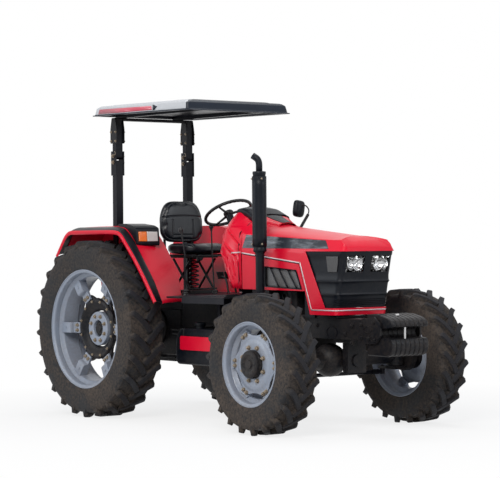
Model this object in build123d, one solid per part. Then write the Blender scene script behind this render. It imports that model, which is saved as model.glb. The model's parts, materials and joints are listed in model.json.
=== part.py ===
from build123d import *
from math import atan2, cos, degrees, pi, radians, sin
import os

# A two-post folding-frame farm tractor with four driven wheels, a sun canopy,
# front suitcase weights and a rear three-point hitch. Millimetres.
# X runs forward, Y to the driver's left, Z up, and the ground is Z = 0.
# Lengths along X are written from the rear axle and moved to the frame on export.

# Driving dimensions, whole machine
wheelbase = 2210.0
rear_track = 1568.0
front_track = 1545.0
rear_overhang = 1010.0
front_overhang = 840.0
rear_axle_x = -(wheelbase + front_overhang - rear_overhang) / 2

# Sheet, castings and fits
sheet = 6.0
skin = 5.0
shaft_gap = 0.08
seat_gap = 0.3

# Rear wheel
rear_tyre_r = 752.0
rear_tyre_w = 345.0
rear_bead_r = 482.0
rear_rim_half = 157.0
rear_lug_count = 6
rear_lug_y = 10.0
rear_bowl_r = 262.0
rear_hub_r = 144.0

# Front wheel
front_tyre_r = 545.0
front_tyre_w = 288.0
front_bead_r = 305.0
front_rim_half = 130.0
front_lug_count = 6
front_lug_y = 58.0
front_dish_r = 225.0
front_cap_r = 110.0

# Rims
rim_wall = 8.0
flange_rise = 23.0
well_drop = 30.0

# Wheel bearings
rear_stub_r = 45.0
front_stub_r = 40.0
stub_inset = 52.0
wheel_clear = 6.0

# Front axle and steering
kingpin_inset = 172.5
kingpin_y = front_track / 2 - kingpin_inset
kingpin_r = 25.0
boss_r = 68.0
boss_half = 70.0
arm_clear = 6.0
arm_thick = 26.0
beam_r = 62.0
drum_r = 118.0
trunnion_r = 48.0
steer_arm = 150.0
rod_pin_r = 10.0
track_rod_r = 16.0

# Driveline
gearbox_half = 170.0
gearbox_low = 510.0
gearbox_top = 905.0
gearbox_rear_x = -285.0
engine_half = 205.0
engine_rear_x = 1180.0
engine_front_x = wheelbase - 262.0
engine_low = 470.0
block_top = 1090.0
pto_z = 640.0
pto_r = 17.45
pto_journal_r = 24.0
pto_reach = 87.0

# Front bolster and weights
bolster_front_x = wheelbase + 480.0
bolster_low = 720.0
bolster_top = 880.0
bolster_half = 190.0
carrier_x = 70.0
hook_x = 40.0
weight_count = 8
weight_pitch = 47.0
weight_gap = 0.4

# Hood, mask and side panels
hood_rear_x = 1400.0
hood_front_x = wheelbase + 358.0
ramp_foot_x = 1610.0
mask_low_z = 905.0
seam_rear_z = 1385.0
seam_x = wheelbase - 120.0
seam_front_z = 1307.0
mask_foot_x = wheelbase - 6.0
panel_inset = 2.0
hinge_pin_r = 4.0
hinge_pin_x = hood_rear_x - 6.0
hinge_pin_z = 1668.0

# Operator's station
deck_z = 1040.0
deck_drop = 55.0
deck_half = 700.0
tunnel_half = 212.0
deck_front_x = 1640.0
deck_rear_x = -205.0
cowl_clear = 14.0
cowl_front_x = hood_rear_x - cowl_clear
firewall_x = cowl_front_x - 40.0
seat_x = 130.0
seat_z = 1380.0
seat_half = 225.0

# Steering wheel
wheel_x = 800.0
wheel_z = 1728.0
wheel_tilt = 30.0
wheel_d = 430.0
grip_r = 14.0
column_r = 32.0

# Fenders
fender_in = 395.0
fender_edge = 700.0
flare_out = 822.0
fender_top = 1628.0
lip_drop = 50.0

# Folding frame and canopy
post_x = -290.0
post_y = 381.0
post_dx = 60.0
post_dy = 70.0
post_foot_z = 672.0
fold_z = 2241.0
fold_pin_r = 10.0
cheek = 8.0
canopy_z = 2590.0
canopy_x0 = -437.0
canopy_x1 = 976.0
canopy_half = 560.0
canopy_h = 105.0
canopy_recess = 24.0
bar_h = 60.0

# Rear hitch
link_pivot_x = -40.0
link_pivot_z = 470.0
link_pin_r = 14.0
link_rod_x = -440.0
link_y = 230.0
link_end_x = -rear_overhang + 32.0
rock_x = -150.0
rock_z = 940.0
rock_r = 26.0
arm_len = 300.0
arm_y = 285.0
rod_y = arm_y - 38.0
lift_pin_r = 11.0
ball_bore_r = 14.35
top_hole_r = 12.85

# Exhaust, tank and mirror
stack_x = wheelbase - 445.0
stack_y = -430.0
stack_top = 2185.0
muffler_r = 54.0
tank_x0 = 790.0
tank_x1 = 1470.0
tank_low = 470.0
tank_top = 775.0
tank_out = 560.0


# Shared builders

def block(x0, x1, y0, y1, z0, z1):
    """A box between two corners."""
    return Pos((x0 + x1) / 2, (y0 + y1) / 2, (z0 + z1) / 2) * Box(x1 - x0, y1 - y0, z1 - z0)


def side_prism(points, y0, y1, radius=0):
    """An XZ outline carried from y0 to y1, its corners rounded if a radius is given."""
    if radius:
        line = FilletPolyline(*points, radius=radius, close=True)
    else:
        line = Polyline(*points, close=True)
    return extrude(Plane.XZ.offset(-y1) * make_face(line), y1 - y0)


def plan_prism(points, z0, z1):
    """An XY outline carried from z0 to z1."""
    face = make_face(Polyline(*points, close=True))
    return extrude(Plane.XY.offset(z0) * face, z1 - z0)


def front_face(points, x):
    """A YZ outline standing at x."""
    return Plane.YZ.offset(x) * make_face(Polyline(*points, close=True))


def rod(start, end, r):
    """A round bar between two points."""
    a, b = Vector(*start), Vector(*end)
    return extrude(Plane(origin=a, z_dir=b - a) * Circle(r), (b - a).length)


def cyl_y(x, y0, y1, z, r):
    """A cylinder along Y."""
    low, high = min(y0, y1), max(y0, y1)
    return rod((x, low, z), (x, high, z), r)


def cyl_z(x, y, z0, z1, r):
    """A cylinder along Z."""
    low, high = min(z0, z1), max(z0, z1)
    return rod((x, y, low), (x, y, high), r)


def cyl_x(x0, x1, y, z, r):
    """A cylinder along X."""
    return rod((x0, y, z), (x1, y, z), r)


def spun(points):
    """A closed outline of (radius, y) turned about the Y axis."""
    return revolve(make_face(Polyline(*points, close=True)), Axis.Y)


def other_side(shape):
    """The same piece on the other side of the machine."""
    return mirror(shape, Plane.XZ)


def both_sides(shape):
    """A piece and its opposite, as separate solids."""
    return Compound([*shape.solids(), *other_side(shape).solids()])


def bent_tube(points, r, bend):
    """A round tube through points, its corners turned at one radius."""
    path = FilletPolyline(*points, radius=bend)
    section = Plane(origin=path @ 0, z_dir=path % 0) * Circle(r)
    return sweep(section, path=path)


def export(name, shape):
    """Writes one node in the machine's frame."""
    solids = [Pos(rear_axle_x, 0, 0) * s for s in shape.solids()]
    moved = solids[0] if len(solids) == 1 else Compound(children=solids)
    export_step(moved, f"parts/{name}.step")


# Wheels

def tyre(outer_r, width, bead_r, rim_half):
    """A tyre's carcass as an open C section, spun about Y."""
    half = width / 2
    bead_in, bead_out = rim_half - 56, rim_half - 13
    flange_top = bead_r + flange_rise
    seat = bead_r + 0.5
    mid_r = (outer_r + flange_top) / 2
    shoulder_r = outer_r - 22
    toe = Polyline((seat, bead_in), (seat, bead_out), (flange_top + 4, rim_half - 6))
    wall = ThreePointArc(
        (flange_top + 4, rim_half - 6), (mid_r - 20, half), (shoulder_r - 40, half - 8))
    shoulder = ThreePointArc(
        (shoulder_r - 40, half - 8), (shoulder_r - 8, half - 16), (shoulder_r + 6, half - 40))
    crown = ThreePointArc(
        (shoulder_r + 6, half - 40), (outer_r, 0), (shoulder_r + 6, 40 - half))
    cavity = Polyline(
        (seat, -bead_in), (bead_r + 45, 34 - half), (outer_r - 75, 30 - half),
        (outer_r - 45, 60 - half), (outer_r - 38, 0), (outer_r - 45, half - 60),
        (outer_r - 75, half - 30), (bead_r + 45, half - 34), (seat, bead_in))
    near = [toe, wall, shoulder]
    far = [mirror(edge, Plane.XZ) for edge in near]
    return revolve(make_face([*near, crown, *far, cavity]), Axis.Y)


def rim(bead_r, half):
    """A rolled steel rim: flanges, bead seats and a drop well."""
    top = bead_r + flange_rise
    well = bead_r - well_drop
    w = rim_wall
    outer = [
        (top, half + 4), (top, half - 4), (bead_r, half - 12), (bead_r, half - 57), (well, half - 80)]
    inner = [
        (top - w, half + 4), (bead_r - w, half - 6), (bead_r - w, half - 55), (well - w, half - 77)]
    outline = outer + [(r, -y) for r, y in reversed(outer)]
    outline += [(r, -y) for r, y in inner] + [(r, y) for r, y in reversed(inner)]
    return spun(outline)


def rim_lugs(bead_r, count, reach, width, y0, y1):
    """Pressed lugs welded inside the rim's well, one for each clamp bolt."""
    well = bead_r - well_drop - rim_wall
    lug = block(well - reach, well + 3, y0, y1, -width / 2, width / 2)
    return [Rot(0, 180 + k * 360 / count, 0) * lug for k in range(count)]


def lobed_disc(count, lobe_r, waist_r, thick):
    """A wheel centre that reaches out to each lug and draws in between."""
    points = []
    for k in range(count * 2):
        a = pi + pi * k / count
        half = (0.30 if k % 2 == 0 else 0.34) * pi / count
        r = lobe_r if k % 2 == 0 else waist_r
        points += [(r * cos(a - half), r * sin(a - half)), (r * cos(a + half), r * sin(a + half))]
    return extrude(Plane.XZ * make_face(Polyline(*points, close=True)), thick)


def rear_wheel():
    """Tyre, lugged rim and bowl-shaped cast centre of the left rear wheel."""
    rubber = tyre(rear_tyre_r, rear_tyre_w, rear_bead_r, rear_rim_half)
    band = rim(rear_bead_r, rear_rim_half)
    for lug in rim_lugs(rear_bead_r, rear_lug_count, 180, 96, rear_lug_y, rear_lug_y + 62):
        band += lug
    face = rear_lug_y - seat_gap
    hub = rear_hub_r
    centre = Pos(0, face, 0) * lobed_disc(rear_lug_count, rear_bowl_r + 58, rear_bowl_r, 24)
    centre += spun([
        (0, -46), (hub + 21, -46), (rear_bowl_r - 12, face - 24), (rear_bowl_r, face),
        (rear_bowl_r - 4, face + 18), (rear_bowl_r - 26, face + 24), (hub + 46, face),
        (hub + 6, -16), (hub + 6, -30), (0, -30)])
    centre += spun([(0, -60), (hub, -60), (hub, 14), (hub / 2, 14), (hub / 2 - 2, -6), (0, -6)])
    end = -rear_stub_end()
    centre += cyl_y(0, end, -60, 0, 110)
    centre += cyl_y(0, end - stub_inset, end, 0, rear_stub_r)
    return rubber, band, centre


def rear_stub_end():
    """How far inboard of the wheel's centre the rear hub's face stands."""
    return 78.0


def front_wheel():
    """Tyre, lugged rim and dished centre of the left front wheel."""
    rubber = tyre(front_tyre_r, front_tyre_w, front_bead_r, front_rim_half)
    band = rim(front_bead_r, front_rim_half)
    for lug in rim_lugs(front_bead_r, front_lug_count, 44, 84, front_lug_y - 22, front_lug_y):
        band += lug
    face = front_lug_y + seat_gap
    edge, cap = front_dish_r, front_cap_r
    centre = Pos(0, face + 12, 0) * lobed_disc(front_lug_count, edge + 31, edge - 3, 12)
    centre += spun([
        (0, 30), (96, 30), (150, 66), (edge - 25, face), (edge, face), (edge, face + 12),
        (edge - 19, face + 14), (170, 84), (cap + 2, 84), (cap, 126), (cap - 12, 138), (0, 138)])
    centre += spun([(0, -27), (100, -27), (100, 40), (0, 40)])
    centre += cyl_y(0, -27 - stub_inset + 17, -27, 0, front_stub_r)
    return rubber, band, centre


# Driveline and castings

def engine():
    """The engine at its real size: sump, crankcase, head and rocker cover, closed up."""
    front = engine_front_x
    body = block(engine_rear_x, front, -150, 150, engine_low, 640)
    body += block(engine_rear_x, front, -engine_half, engine_half, 640, deck_z - 10)
    body += block(cowl_front_x - 16, front, -engine_half, engine_half, deck_z - 10, block_top)
    body += block(cowl_front_x - 6, front - 48, -150, 150, block_top, 1260)
    return body + block(hood_rear_x, front - 88, -100, 100, 1260, 1345)


def transmission():
    """Clutch housing, gearbox and rear axle centre as one bolted train."""
    body = block(gearbox_rear_x, 330, -gearbox_half, gearbox_half, gearbox_low, gearbox_top)
    body += block(330, 860, -150, 150, 520, 960)
    wide = engine_half
    body += loft([
        front_face([(-150, 520), (150, 520), (150, 960), (-150, 960)], 860),
        front_face([(-wide, 480), (wide, 480), (wide, 1010), (-wide, 1010)], engine_rear_x - seat_gap),
    ], ruled=True)
    return body - cyl_x(gearbox_rear_x - 1, gearbox_rear_x + 70, 0, pto_z, pto_journal_r + shaft_gap)


def lift_housing():
    """The hydraulic lift casting over the rear axle, with the top link's ears."""
    rear = gearbox_rear_x
    top = deck_z - sheet - seat_gap
    body = block(rear, 330 - seat_gap, -150, 150, gearbox_top + seat_gap, top)
    body -= cyl_y(rock_x, -151, 151, rock_z, rock_r + shaft_gap)
    ear = block(rear - 60, rear - seat_gap, -52, -34, 800, 930)
    ears = ear + other_side(ear) + block(rear - 60, rear + 15, -52, 52, gearbox_top + seat_gap, 930)
    return body + (ears - cyl_y(rear - 35, -60, 60, 840, top_hole_r))


def link_brackets():
    """The two brackets under the axle with the pins that the draught links swing on."""
    x, z = link_pivot_x, link_pivot_z
    one = block(x - 45, x + 45, 150, 200, z - 40, gearbox_low - seat_gap)
    one += cyl_y(x, 200, link_y + 30, z, link_pin_r)
    one += cyl_y(x, link_y + 22, link_y + 30, z, link_pin_r + 8)
    return both_sides(one)


def axle_housings():
    """The two trumpet housings that carry the rear half shafts, with the frame's pads."""
    end = rear_track / 2 - rear_stub_end() - wheel_clear
    start = gearbox_half + seat_gap
    one = revolve(make_face(Polyline(
        (0, start), (150, start), (150, start + 25), (118, start + 45), (88, end - 220), (88, end - 30),
        (130, end - 30), (130, end), (0, end), close=True)), Axis.Y)
    one = Pos(0, 0, rear_tyre_r) * one
    one += block(-136, 0, post_y - 55, post_y + 55, rear_tyre_r - 80, rear_tyre_r + 80)
    one -= cyl_y(0, end - 60, end + 1, rear_tyre_r, rear_stub_r + shaft_gap)
    return both_sides(one)


def front_support():
    """The cast bolster that carries the radiator, the axle's trunnions and the weights."""
    low, top, half = bolster_low, bolster_top, bolster_half
    body = block(engine_front_x + seat_gap, bolster_front_x, -half, half, low, top)
    body -= block(wheelbase - 90, bolster_front_x - 50, 30 - half, half - 30, low - 20, top - 25)
    for x in (wheelbase - 195, wheelbase + 192):
        body += block(x - 30, x + 30, -95, 95, front_tyre_r - 95, low + 1)
        body -= cyl_x(x - 31, x + 31, 0, front_tyre_r, trunnion_r + seat_gap)
    return body + block(wheelbase + 160, wheelbase + 225, 20 - half, half - 20, low - 30, low + 2)


def front_axle():
    """The driven beam: differential, tapered arms, trunnions and kingpin bosses."""
    x, z = wheelbase, front_tyre_r
    arm = revolve(make_face(Polyline(
        (0, 0), (beam_r + 22, 0), (beam_r + 16, 160), (beam_r - 8, 330), (beam_r - 8, kingpin_y - 40),
        (0, kingpin_y - 40), close=True)), Axis.Y)
    beam = Pos(x, 0, z) * (arm + other_side(arm))
    beam += Pos(x, -90, z) * Sphere(132)
    beam += cyl_x(x - 235, x + 235, 0, z, trunnion_r)
    for side in (-1, 1):
        y = side * kingpin_y
        beam += cyl_z(x, y, z - boss_half, z + boss_half, boss_r)
        beam -= cyl_z(x, y, z - boss_half - 1, z + boss_half + 1, kingpin_r + shaft_gap)
    return beam


def knuckle():
    """The left steering knuckle: hub drum, arms, kingpins and steering arm."""
    x, y, z = wheelbase, kingpin_y, front_tyre_r
    face = front_track / 2 - 27 - wheel_clear
    body = cyl_y(x, y + boss_r + 10, face, z, drum_r)
    body -= cyl_y(x, face - 38, face + 1, z, front_stub_r + shaft_gap)
    near = boss_half + arm_clear
    for s in (-1, 1):
        low, high = sorted((z + s * near, z + s * (near + arm_thick)))
        body += block(x - 55, x + 55, y - 50, face - 12, low, high)
        body += cyl_z(x, y, z + s * 38, z + s * (near + 2), kingpin_r)
    low = z - near - arm_thick
    tail = plan_prism([
        (x - 30, y - 50), (x - 30, y + 40), (x - steer_arm - 24, y + 24), (x - steer_arm - 24, y - 24),
    ], low, low + 22)
    return body + (tail - cyl_z(x - steer_arm, y, low - 1, low + 23, rod_pin_r + shaft_gap))


def tie_rod():
    """The track rod behind the axle, joining the two steering arms."""
    top = front_tyre_r - boss_half - arm_clear - arm_thick
    x = wheelbase - steer_arm
    bar = cyl_y(x, -kingpin_y, kingpin_y, top - 26, track_rod_r)
    for y in (-kingpin_y, kingpin_y):
        bar += cyl_z(x, y, top - 46, top - 0.5, 22)
        bar += cyl_z(x, y, top - 1, top + 30, rod_pin_r)
        bar += cyl_y(x, y * 0.8, y * 0.92, top - 26, track_rod_r + 5)
    return bar


def radiator():
    """The cooling pack standing on the bolster, behind the grille."""
    x = wheelbase - 150
    return block(x, x + 120, -215, 215, bolster_top + seat_gap, 1330)


def weight_carrier():
    """The cast bracket ahead of the bolster that the weights hook on."""
    x = bolster_front_x
    body = block(x + seat_gap, x + carrier_x, -215, 215, 690, bolster_top)
    body += block(x + carrier_x, x + carrier_x + hook_x, -190, 190, 800, 860)
    for y0 in (-215, 197):
        body += side_prism([
            (x + 30, 690), (x + 210, 705), (x + 250, 760), (x + 250, 850), (x + 180, 905), (x + 30, 880),
        ], y0, y0 + 18, 12)
    return body - cyl_z(x + carrier_x / 2, 0, 689, bolster_top + 1, 14)


def weight_outline():
    """A suitcase weight from the side: hook above, grip notch at mid height."""
    x0 = bolster_front_x + carrier_x
    x1 = wheelbase + front_overhang
    g = seat_gap
    return [
        (x0 + g, 700), (x0 + 30, 610), (x1 - 40, 600), (x1 - 8, 622), (x1, 735), (x1 - 85, 742),
        (x1 - 85, 793), (x1, 800), (x1 - 6, 845), (x1 - 50, 880), (x1 - 150, 912), (x0 + 40, 925),
        (x0 + 10, 915), (x0 + 10, 860 + g), (x0 + hook_x + g, 860 + g), (x0 + hook_x + g, 800 - g),
        (x0 + g, 800 - g)]


def front_weights():
    """A row of suitcase weights."""
    first = -weight_pitch * weight_count / 2
    outline = weight_outline()
    slabs = []
    for k in range(weight_count):
        y0 = first + k * weight_pitch
        slabs.append(side_prism(outline, y0 + weight_gap / 2, y0 + weight_pitch - weight_gap / 2))
    return Compound(slabs)


# Body panels

def hull_section(x, inset):
    """The hood's cross-section at a station: flank, shoulder facet, crowned top."""
    t = (x - hood_rear_x) / (hood_front_x - hood_rear_x)
    r = max(0.0, (ramp_foot_x - x) / (ramp_foot_x - hood_rear_x))
    i = inset
    right = [
        (325 - 60 * t - i, mask_low_z - 60),
        (332 - 56 * t - i, 1427 - 27 * t),
        (318 - 83 * t - i, 1540 - 57 * t + 8 * r - 0.3 * i),
        (200 - 48 * t - 0.6 * i, 1594 - 92 * t + 28 * r - 0.9 * i),
        (118 - 20 * t - 0.4 * i, 1620 - 113 * t + 45 * r - i),
    ]
    crown = (0, 1632 - 122 * t + 48 * r - i)
    return front_face([*right, crown, *[(-y, z) for y, z in reversed(right)]], x)


def hood_hull(inset, x0):
    """The hood's outer form, drawn in by inset all round."""
    middle = (ramp_foot_x + hood_front_x) / 2
    stations = (x0, ramp_foot_x, middle, hood_front_x)
    return loft([hull_section(x, inset) for x in stations], ruled=True)


def hood_outline(inset):
    """The hood from the side, with its leaning nose and rounded brow."""
    x, rear = hood_front_x - inset, hood_rear_x - 50
    return [
        (rear, mask_low_z - 80), (x - 87, mask_low_z - 80), (x - 87, 923), (x, 1394),
        (x - 18, 1448 - inset / 2), (x - 52, 1488 - inset), (x - 130, 1530), (rear, 1760)]


def hood_skin(inset, wall):
    """The hood's shell as a hollow wall, open below and behind."""
    outer = hood_hull(inset, hood_rear_x) & side_prism(hood_outline(inset), -400, 400)
    inner = hood_hull(inset + wall, hood_rear_x - 20)
    inner &= side_prism(hood_outline(inset + wall), -400, 400)
    return outer - inner


def mask_opening(gap):
    """The region of the grille, wrapping round both front corners."""
    x = wheelbase
    return side_prism([
        (x - 45 + gap, 1402 - gap), (x + 165 + gap, 962 + gap), (x + 500, 962 + gap),
        (x + 500, 1402 - gap)], -400, 400)


def below_seam():
    """Everything under the hood's lower edge."""
    rear = hood_rear_x - 60
    return side_prism([
        (rear, seam_rear_z + 2), (seam_x, seam_front_z), (mask_foot_x, mask_low_z),
        (wheelbase + 500, mask_low_z), (wheelbase + 500, 700), (rear, 700)], -400, 400)


def hood_shell():
    """The one-piece hood with its front mask frame and its two hinge ears."""
    shell = hood_skin(0, sheet) - below_seam() - mask_opening(0)
    x, z = hinge_pin_x, hinge_pin_z
    ear = block(x - 3, hood_rear_x + 30, 28, 40, z - 14, z - 1)
    ear += cyl_y(x, 28, 40, z, hinge_pin_r + 3)
    ear -= cyl_y(x, 27, 41, z, hinge_pin_r + shaft_gap)
    return shell + ear + other_side(ear)


def hood_hinge():
    """The fixed hinge pin in the seam behind the hood, on its gooseneck."""
    x, z = hinge_pin_x, hinge_pin_z
    neck = block(firewall_x + sheet + seat_gap, x, -20, 20, z - 26, z - 12)
    neck += block(x - 4, x + 4, -20, 20, z - 26, z)
    return neck + cyl_y(x, -44, 44, z, hinge_pin_r)


def lamp_windows(gap):
    """The two headlamp openings, drawn in by gap."""
    x = wheelbase
    one = side_prism([
        (x + 220, 1258 + gap), (x + 500, 1258 + gap), (x + 500, 1352 - gap), (x + 220, 1352 - gap),
    ], 52 + gap, 208 - gap)
    return one + other_side(one)


def front_grille():
    """The black grille panel that wraps the nose, with two raised bars."""
    panel = hood_skin(3, 8) & mask_opening(seat_gap)
    for z in (1168, 1082):
        bar = hood_skin(-4, 10) & block(wheelbase, wheelbase + 500, -400, 400, z - 7, z + 7)
        panel += bar & mask_opening(6)
    return panel - lamp_windows(0)


def headlights():
    """A pair of lamp units filling the grille's two windows."""
    units = lamp_windows(seat_gap) & side_prism(hood_outline(4), -400, 400)
    return units & hood_hull(4, hood_rear_x)


def vent_outline(gap):
    """The side panel's slanted vent, drawn in by gap."""
    x = wheelbase
    return [
        (1650 + gap, 1278 - gap), (x - 178 - gap, 1244 - gap), (x - 112 - gap, 1105 + gap),
        (1650 + gap, 1122 + gap)]


def flank_skin(inset, wall):
    """The hood's flanks carried down past its seam as a thin wall, drawn in by inset."""
    return hood_hull(inset, hood_rear_x) - hood_hull(inset + wall, hood_rear_x - 20)


def side_panels():
    """The fixed engine side panels with their vents and stays to the engine."""
    outline = side_prism([
        (hood_rear_x, seam_rear_z - 8), (seam_x - 6, seam_front_z - 9), (mask_foot_x - 64, 1062),
        (hood_rear_x, 1095)], 100, 400)
    vent = side_prism(vent_outline(0), 100, 400)
    one = (flank_skin(panel_inset, sheet) & outline) - vent
    inside = hood_hull(panel_inset + sheet - 1, hood_rear_x)
    for x0, x1, near in ((1480, 1520, 150), (wheelbase - 130, wheelbase - 110, 215)):
        one += block(x0, x1, near + seat_gap, 340, 1150, 1170) & inside
    return both_sides(one)


def vent_screens():
    """The mesh plates in the vents, each crossed by three leaning bars."""
    opening = side_prism(vent_outline(seat_gap), 100, 400)
    one = flank_skin(panel_inset + 2, 4) & opening
    for k in range(3):
        x = 1745 + 95 * k
        bar = side_prism([(x, 1300), (x + 16, 1300), (x + 86, 1090), (x + 70, 1090)], 100, 400)
        one += flank_skin(panel_inset - 5, 10) & bar & opening
    return both_sides(one)


def cowl_section(x, i, widths, heights):
    """One cross-section of the cowl: foot, belt, shoulder, brow and top."""
    foot, belt, shoulder, brow, top = widths
    z_foot, z_belt, z_shoulder, z_brow, z_top = heights
    low = z_foot - (20 if i else 0)
    right = [
        (foot - i, low), (belt - i, z_belt), (shoulder - i, z_shoulder - 0.4 * i),
        (brow - 0.8 * i, z_brow - 0.7 * i), (top - 0.5 * i, z_top - i)]
    return front_face([*right, *[(-y, z) for y, z in reversed(right)]], x)


def cowl_form(inset):
    """The cowl's closed form, drawn in by inset and carried past its open face."""
    x = cowl_front_x
    rows = (
        (x - 386, (170, 200, 180, 120, 70), (1140, 1400, 1540, 1600, 1620)),
        (x - 300, (285, 305, 262, 170, 110), (1112, 1410, 1580, 1690, 1728)),
        (x - 130, (322, 331, 300, 190, 125), (1102, 1420, 1575, 1690, 1732)),
        (x, (328, 332, 318, 200, 122), (1096, 1425, 1548, 1622, 1672)),
    )
    faces = []
    for k, (place, widths, heights) in enumerate(rows):
        shift = inset if k == 0 else (1 if k == 3 and inset > 0 else 0)
        faces.append(cowl_section(place + shift, inset, widths, heights))
    return loft(faces, ruled=True)


def column_ends():
    """Where the steering column starts under the wheel and ends inside the cowl."""
    a = radians(wheel_tilt)
    head = (wheel_x + 19.5 * sin(a), 0, wheel_z - 19.5 * cos(a))
    foot_x = cowl_front_x - 326
    return head, (foot_x, 0, wheel_z - (foot_x - wheel_x) / sin(a) * cos(a))


def cowl():
    """The red console round the steering column, open below and towards the engine."""
    shell = cowl_form(0) - cowl_form(sheet)
    head, foot = column_ends()
    return shell - rod(head, foot, column_r + seat_gap)


def firewall():
    """The bulkhead inside the cowl, standing on the deck."""
    x = firewall_x
    wall = block(x, x + sheet, -400, 400, 1075, 1780) & cowl_form(sheet + seat_gap)
    return wall + block(x, x + sheet, -290, 290, deck_z + seat_gap, 1130)


def dash_cover():
    """The black binnacle that crowns the cowl."""
    x = cowl_front_x
    lid = side_prism([
        (x - 312, 1660), (x - 322, 1735), (x - 290, 1762), (x - 190, 1768), (x - 60, 1712), (x - 40, 1680),
    ], -135, 135)
    return lid - cowl_form(-seat_gap)


def steering_column():
    """The column tube, seated in the cowl's rear face."""
    head, foot = column_ends()
    return rod(head, foot, column_r)


def steering_wheel():
    """Rim, three dished spokes and hub."""
    ring_r = wheel_d / 2 - grip_r
    wheel = Torus(ring_r, grip_r) + Pos(0, 0, -8) * Cylinder(42, 22)
    for k in range(3):
        wheel += Rot(0, 0, 60 + 120 * k) * rod((36, 0, -6), (ring_r - 2, 0, 0), 9)
    return Pos(wheel_x, 0, wheel_z) * Rot(0, -wheel_tilt, 0) * wheel


def fender_profile(front_shift, drop):
    """The fender's side profile: back slope, flat top and long front slope."""
    f, top = front_shift, fender_top - drop
    return [
        (-600 + 0.2 * f, 1400 - 0.3 * drop), (-455, top - 30), (-395, top), (262 + 0.1 * f, top),
        (345 + 0.3 * f, top - 48), (690 + f, 1190 - 0.5 * drop), (860 + f, deck_z + 8 - drop)]


def lowered(path, drop):
    """A profile moved square to itself, inwards, by drop."""
    low = []
    for i, (x, z) in enumerate(path):
        ax, az = path[max(i - 1, 0)]
        bx, bz = path[min(i + 1, len(path) - 1)]
        a = atan2(bz - az, bx - ax)
        low.append((x + drop * sin(a), z - drop * cos(a)))
    return low


def fender_strip(y, front_shift, drop, thick):
    """A thin strip section of the fender standing at y."""
    path = fender_profile(front_shift, drop)
    outline = make_face(Polyline(*path, *reversed(lowered(path, thick)), close=True))
    return Plane.XZ.offset(-y) * outline


def post_slot():
    """The room that the left frame post takes through the fender and deck."""
    x, y = post_x, post_y
    return block(x - post_dx / 2 - 12, x + post_dx / 2 + 12, fender_in - 60, y + post_dy / 2 + 12, 900, 2000)


def fenders():
    """Both fenders' broad tops with their inner walls, and the red lips outside the flares."""
    rows = ((fender_in, 0), (fender_in + sheet, 0), (fender_edge, 90))
    top = loft([fender_strip(y, f, 0, sheet) for y, f in rows], ruled=True)
    low = lowered(fender_profile(0, 0), sheet / 2)
    floor = deck_z + seat_gap
    wall = side_prism(
        [*low[1:6], (low[5][0] + 120, floor), (-520, floor), (-520, 1490)], fender_in, fender_in + sheet)
    edge = fender_profile(112, lip_drop)
    lip = side_prism([*edge, *reversed(lowered(edge, 42))], flare_out + seat_gap, flare_out + 14)
    return both_sides(Compound([*((top + wall) - post_slot()).solids(), lip]))


def fender_flares():
    """The black flares that fall away outside the fenders."""
    g = seat_gap
    rows = ((fender_edge + g, 90, 0), (fender_edge + 60, 100, 14), (flare_out, 112, lip_drop))
    return both_sides(loft([fender_strip(y, f, d, sheet) for y, f, d in rows], ruled=True))


def fender_lamps():
    """Lamp housings seated where the fenders' fronts begin to slope."""
    top = fender_top
    one = side_prism([
        (120, top - 20), (130, top + 26), (330, top + 26), (500, top - 92), (500, top - 170),
    ], 520, 680)
    under = loft([
        Plane.XZ.offset(-y) * make_face(Polyline(
            *[(x, z + seat_gap) for x, z in fender_profile(f, 0)], (900, 900), (-600, 900), close=True))
        for y, f in ((fender_in, 0), (fender_in + sheet, 0), (fender_edge, 90))], ruled=True)
    return both_sides(one - under)


def footboards():
    """The deck either side of the transmission and the seat deck between the fenders."""
    low = deck_z - sheet
    x1 = deck_front_x
    board = block(640, x1, tunnel_half, deck_half, low, deck_z)
    board += block(1075, x1, deck_half - sheet, deck_half, deck_z - deck_drop, low)
    board += side_prism([(x1, deck_z), (x1 + 40, deck_z + 26), (x1 + 40, deck_z + 18), (x1, low)],
                        tunnel_half, deck_half)
    board -= block(630, 1060, fender_in - seat_gap, deck_half + 1, low - 100, deck_z + 1)
    inner = fender_in - seat_gap
    deck = block(deck_rear_x, 640, -inner, inner, low, deck_z)
    deck += block(-420, deck_rear_x, -tunnel_half, tunnel_half, low, deck_z)
    tunnel = block(640, engine_rear_x - 5, -tunnel_half, tunnel_half, low, deck_z)
    return board + other_side(board) + deck + tunnel


def deck_beams():
    """Cross beams from the engine's flanks that carry the footboards and the tank."""
    near, low = engine_half + seat_gap, deck_z - deck_drop
    top = deck_z - sheet - seat_gap
    starts = (engine_rear_x + 20, engine_rear_x + 260)
    left = [block(x, x + 40, near, deck_half - 10, low, top) for x in starts]
    right = []
    for x in starts:
        beam = other_side(block(x, x + 40, near, deck_half - 10, low, top))
        right.append(beam + block(x, x + 40, -430, -390, tank_top + seat_gap, low + 1))
    return Compound([*left, *right])


def fuel_tank():
    """The black tank slung under the right footboard, its top corners cut off."""
    points = [
        (tank_x0, tank_low), (tank_x1, tank_low), (tank_x1, tank_top - 35), (tank_x1 - 50, tank_top),
        (tank_x0 + 60, tank_top), (tank_x0, tank_top - 55)]
    return side_prism(points, -tank_out, -230, 14)


def tank_guard():
    """The red plate bolted to the tank's outer face."""
    x0, x1, low = tank_x0 + 70, tank_x1 - 30, tank_low + 120
    return side_prism([(x0, low), (x1, low), (x1, low + 122), (x0, low + 122)], -tank_out - sheet, -tank_out)


def seat_base():
    """The suspension box under the seat."""
    top = seat_z
    folds = [
        (seat_x + 40, deck_z), (seat_x + 310, deck_z), (seat_x + 310, deck_z + 60), (seat_x + 270, deck_z + 150),
        (seat_x + 330, top - 60), (seat_x + 330, top), (seat_x + 30, top), (seat_x + 30, top - 60)]
    return side_prism(folds, -150, 150)


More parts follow.
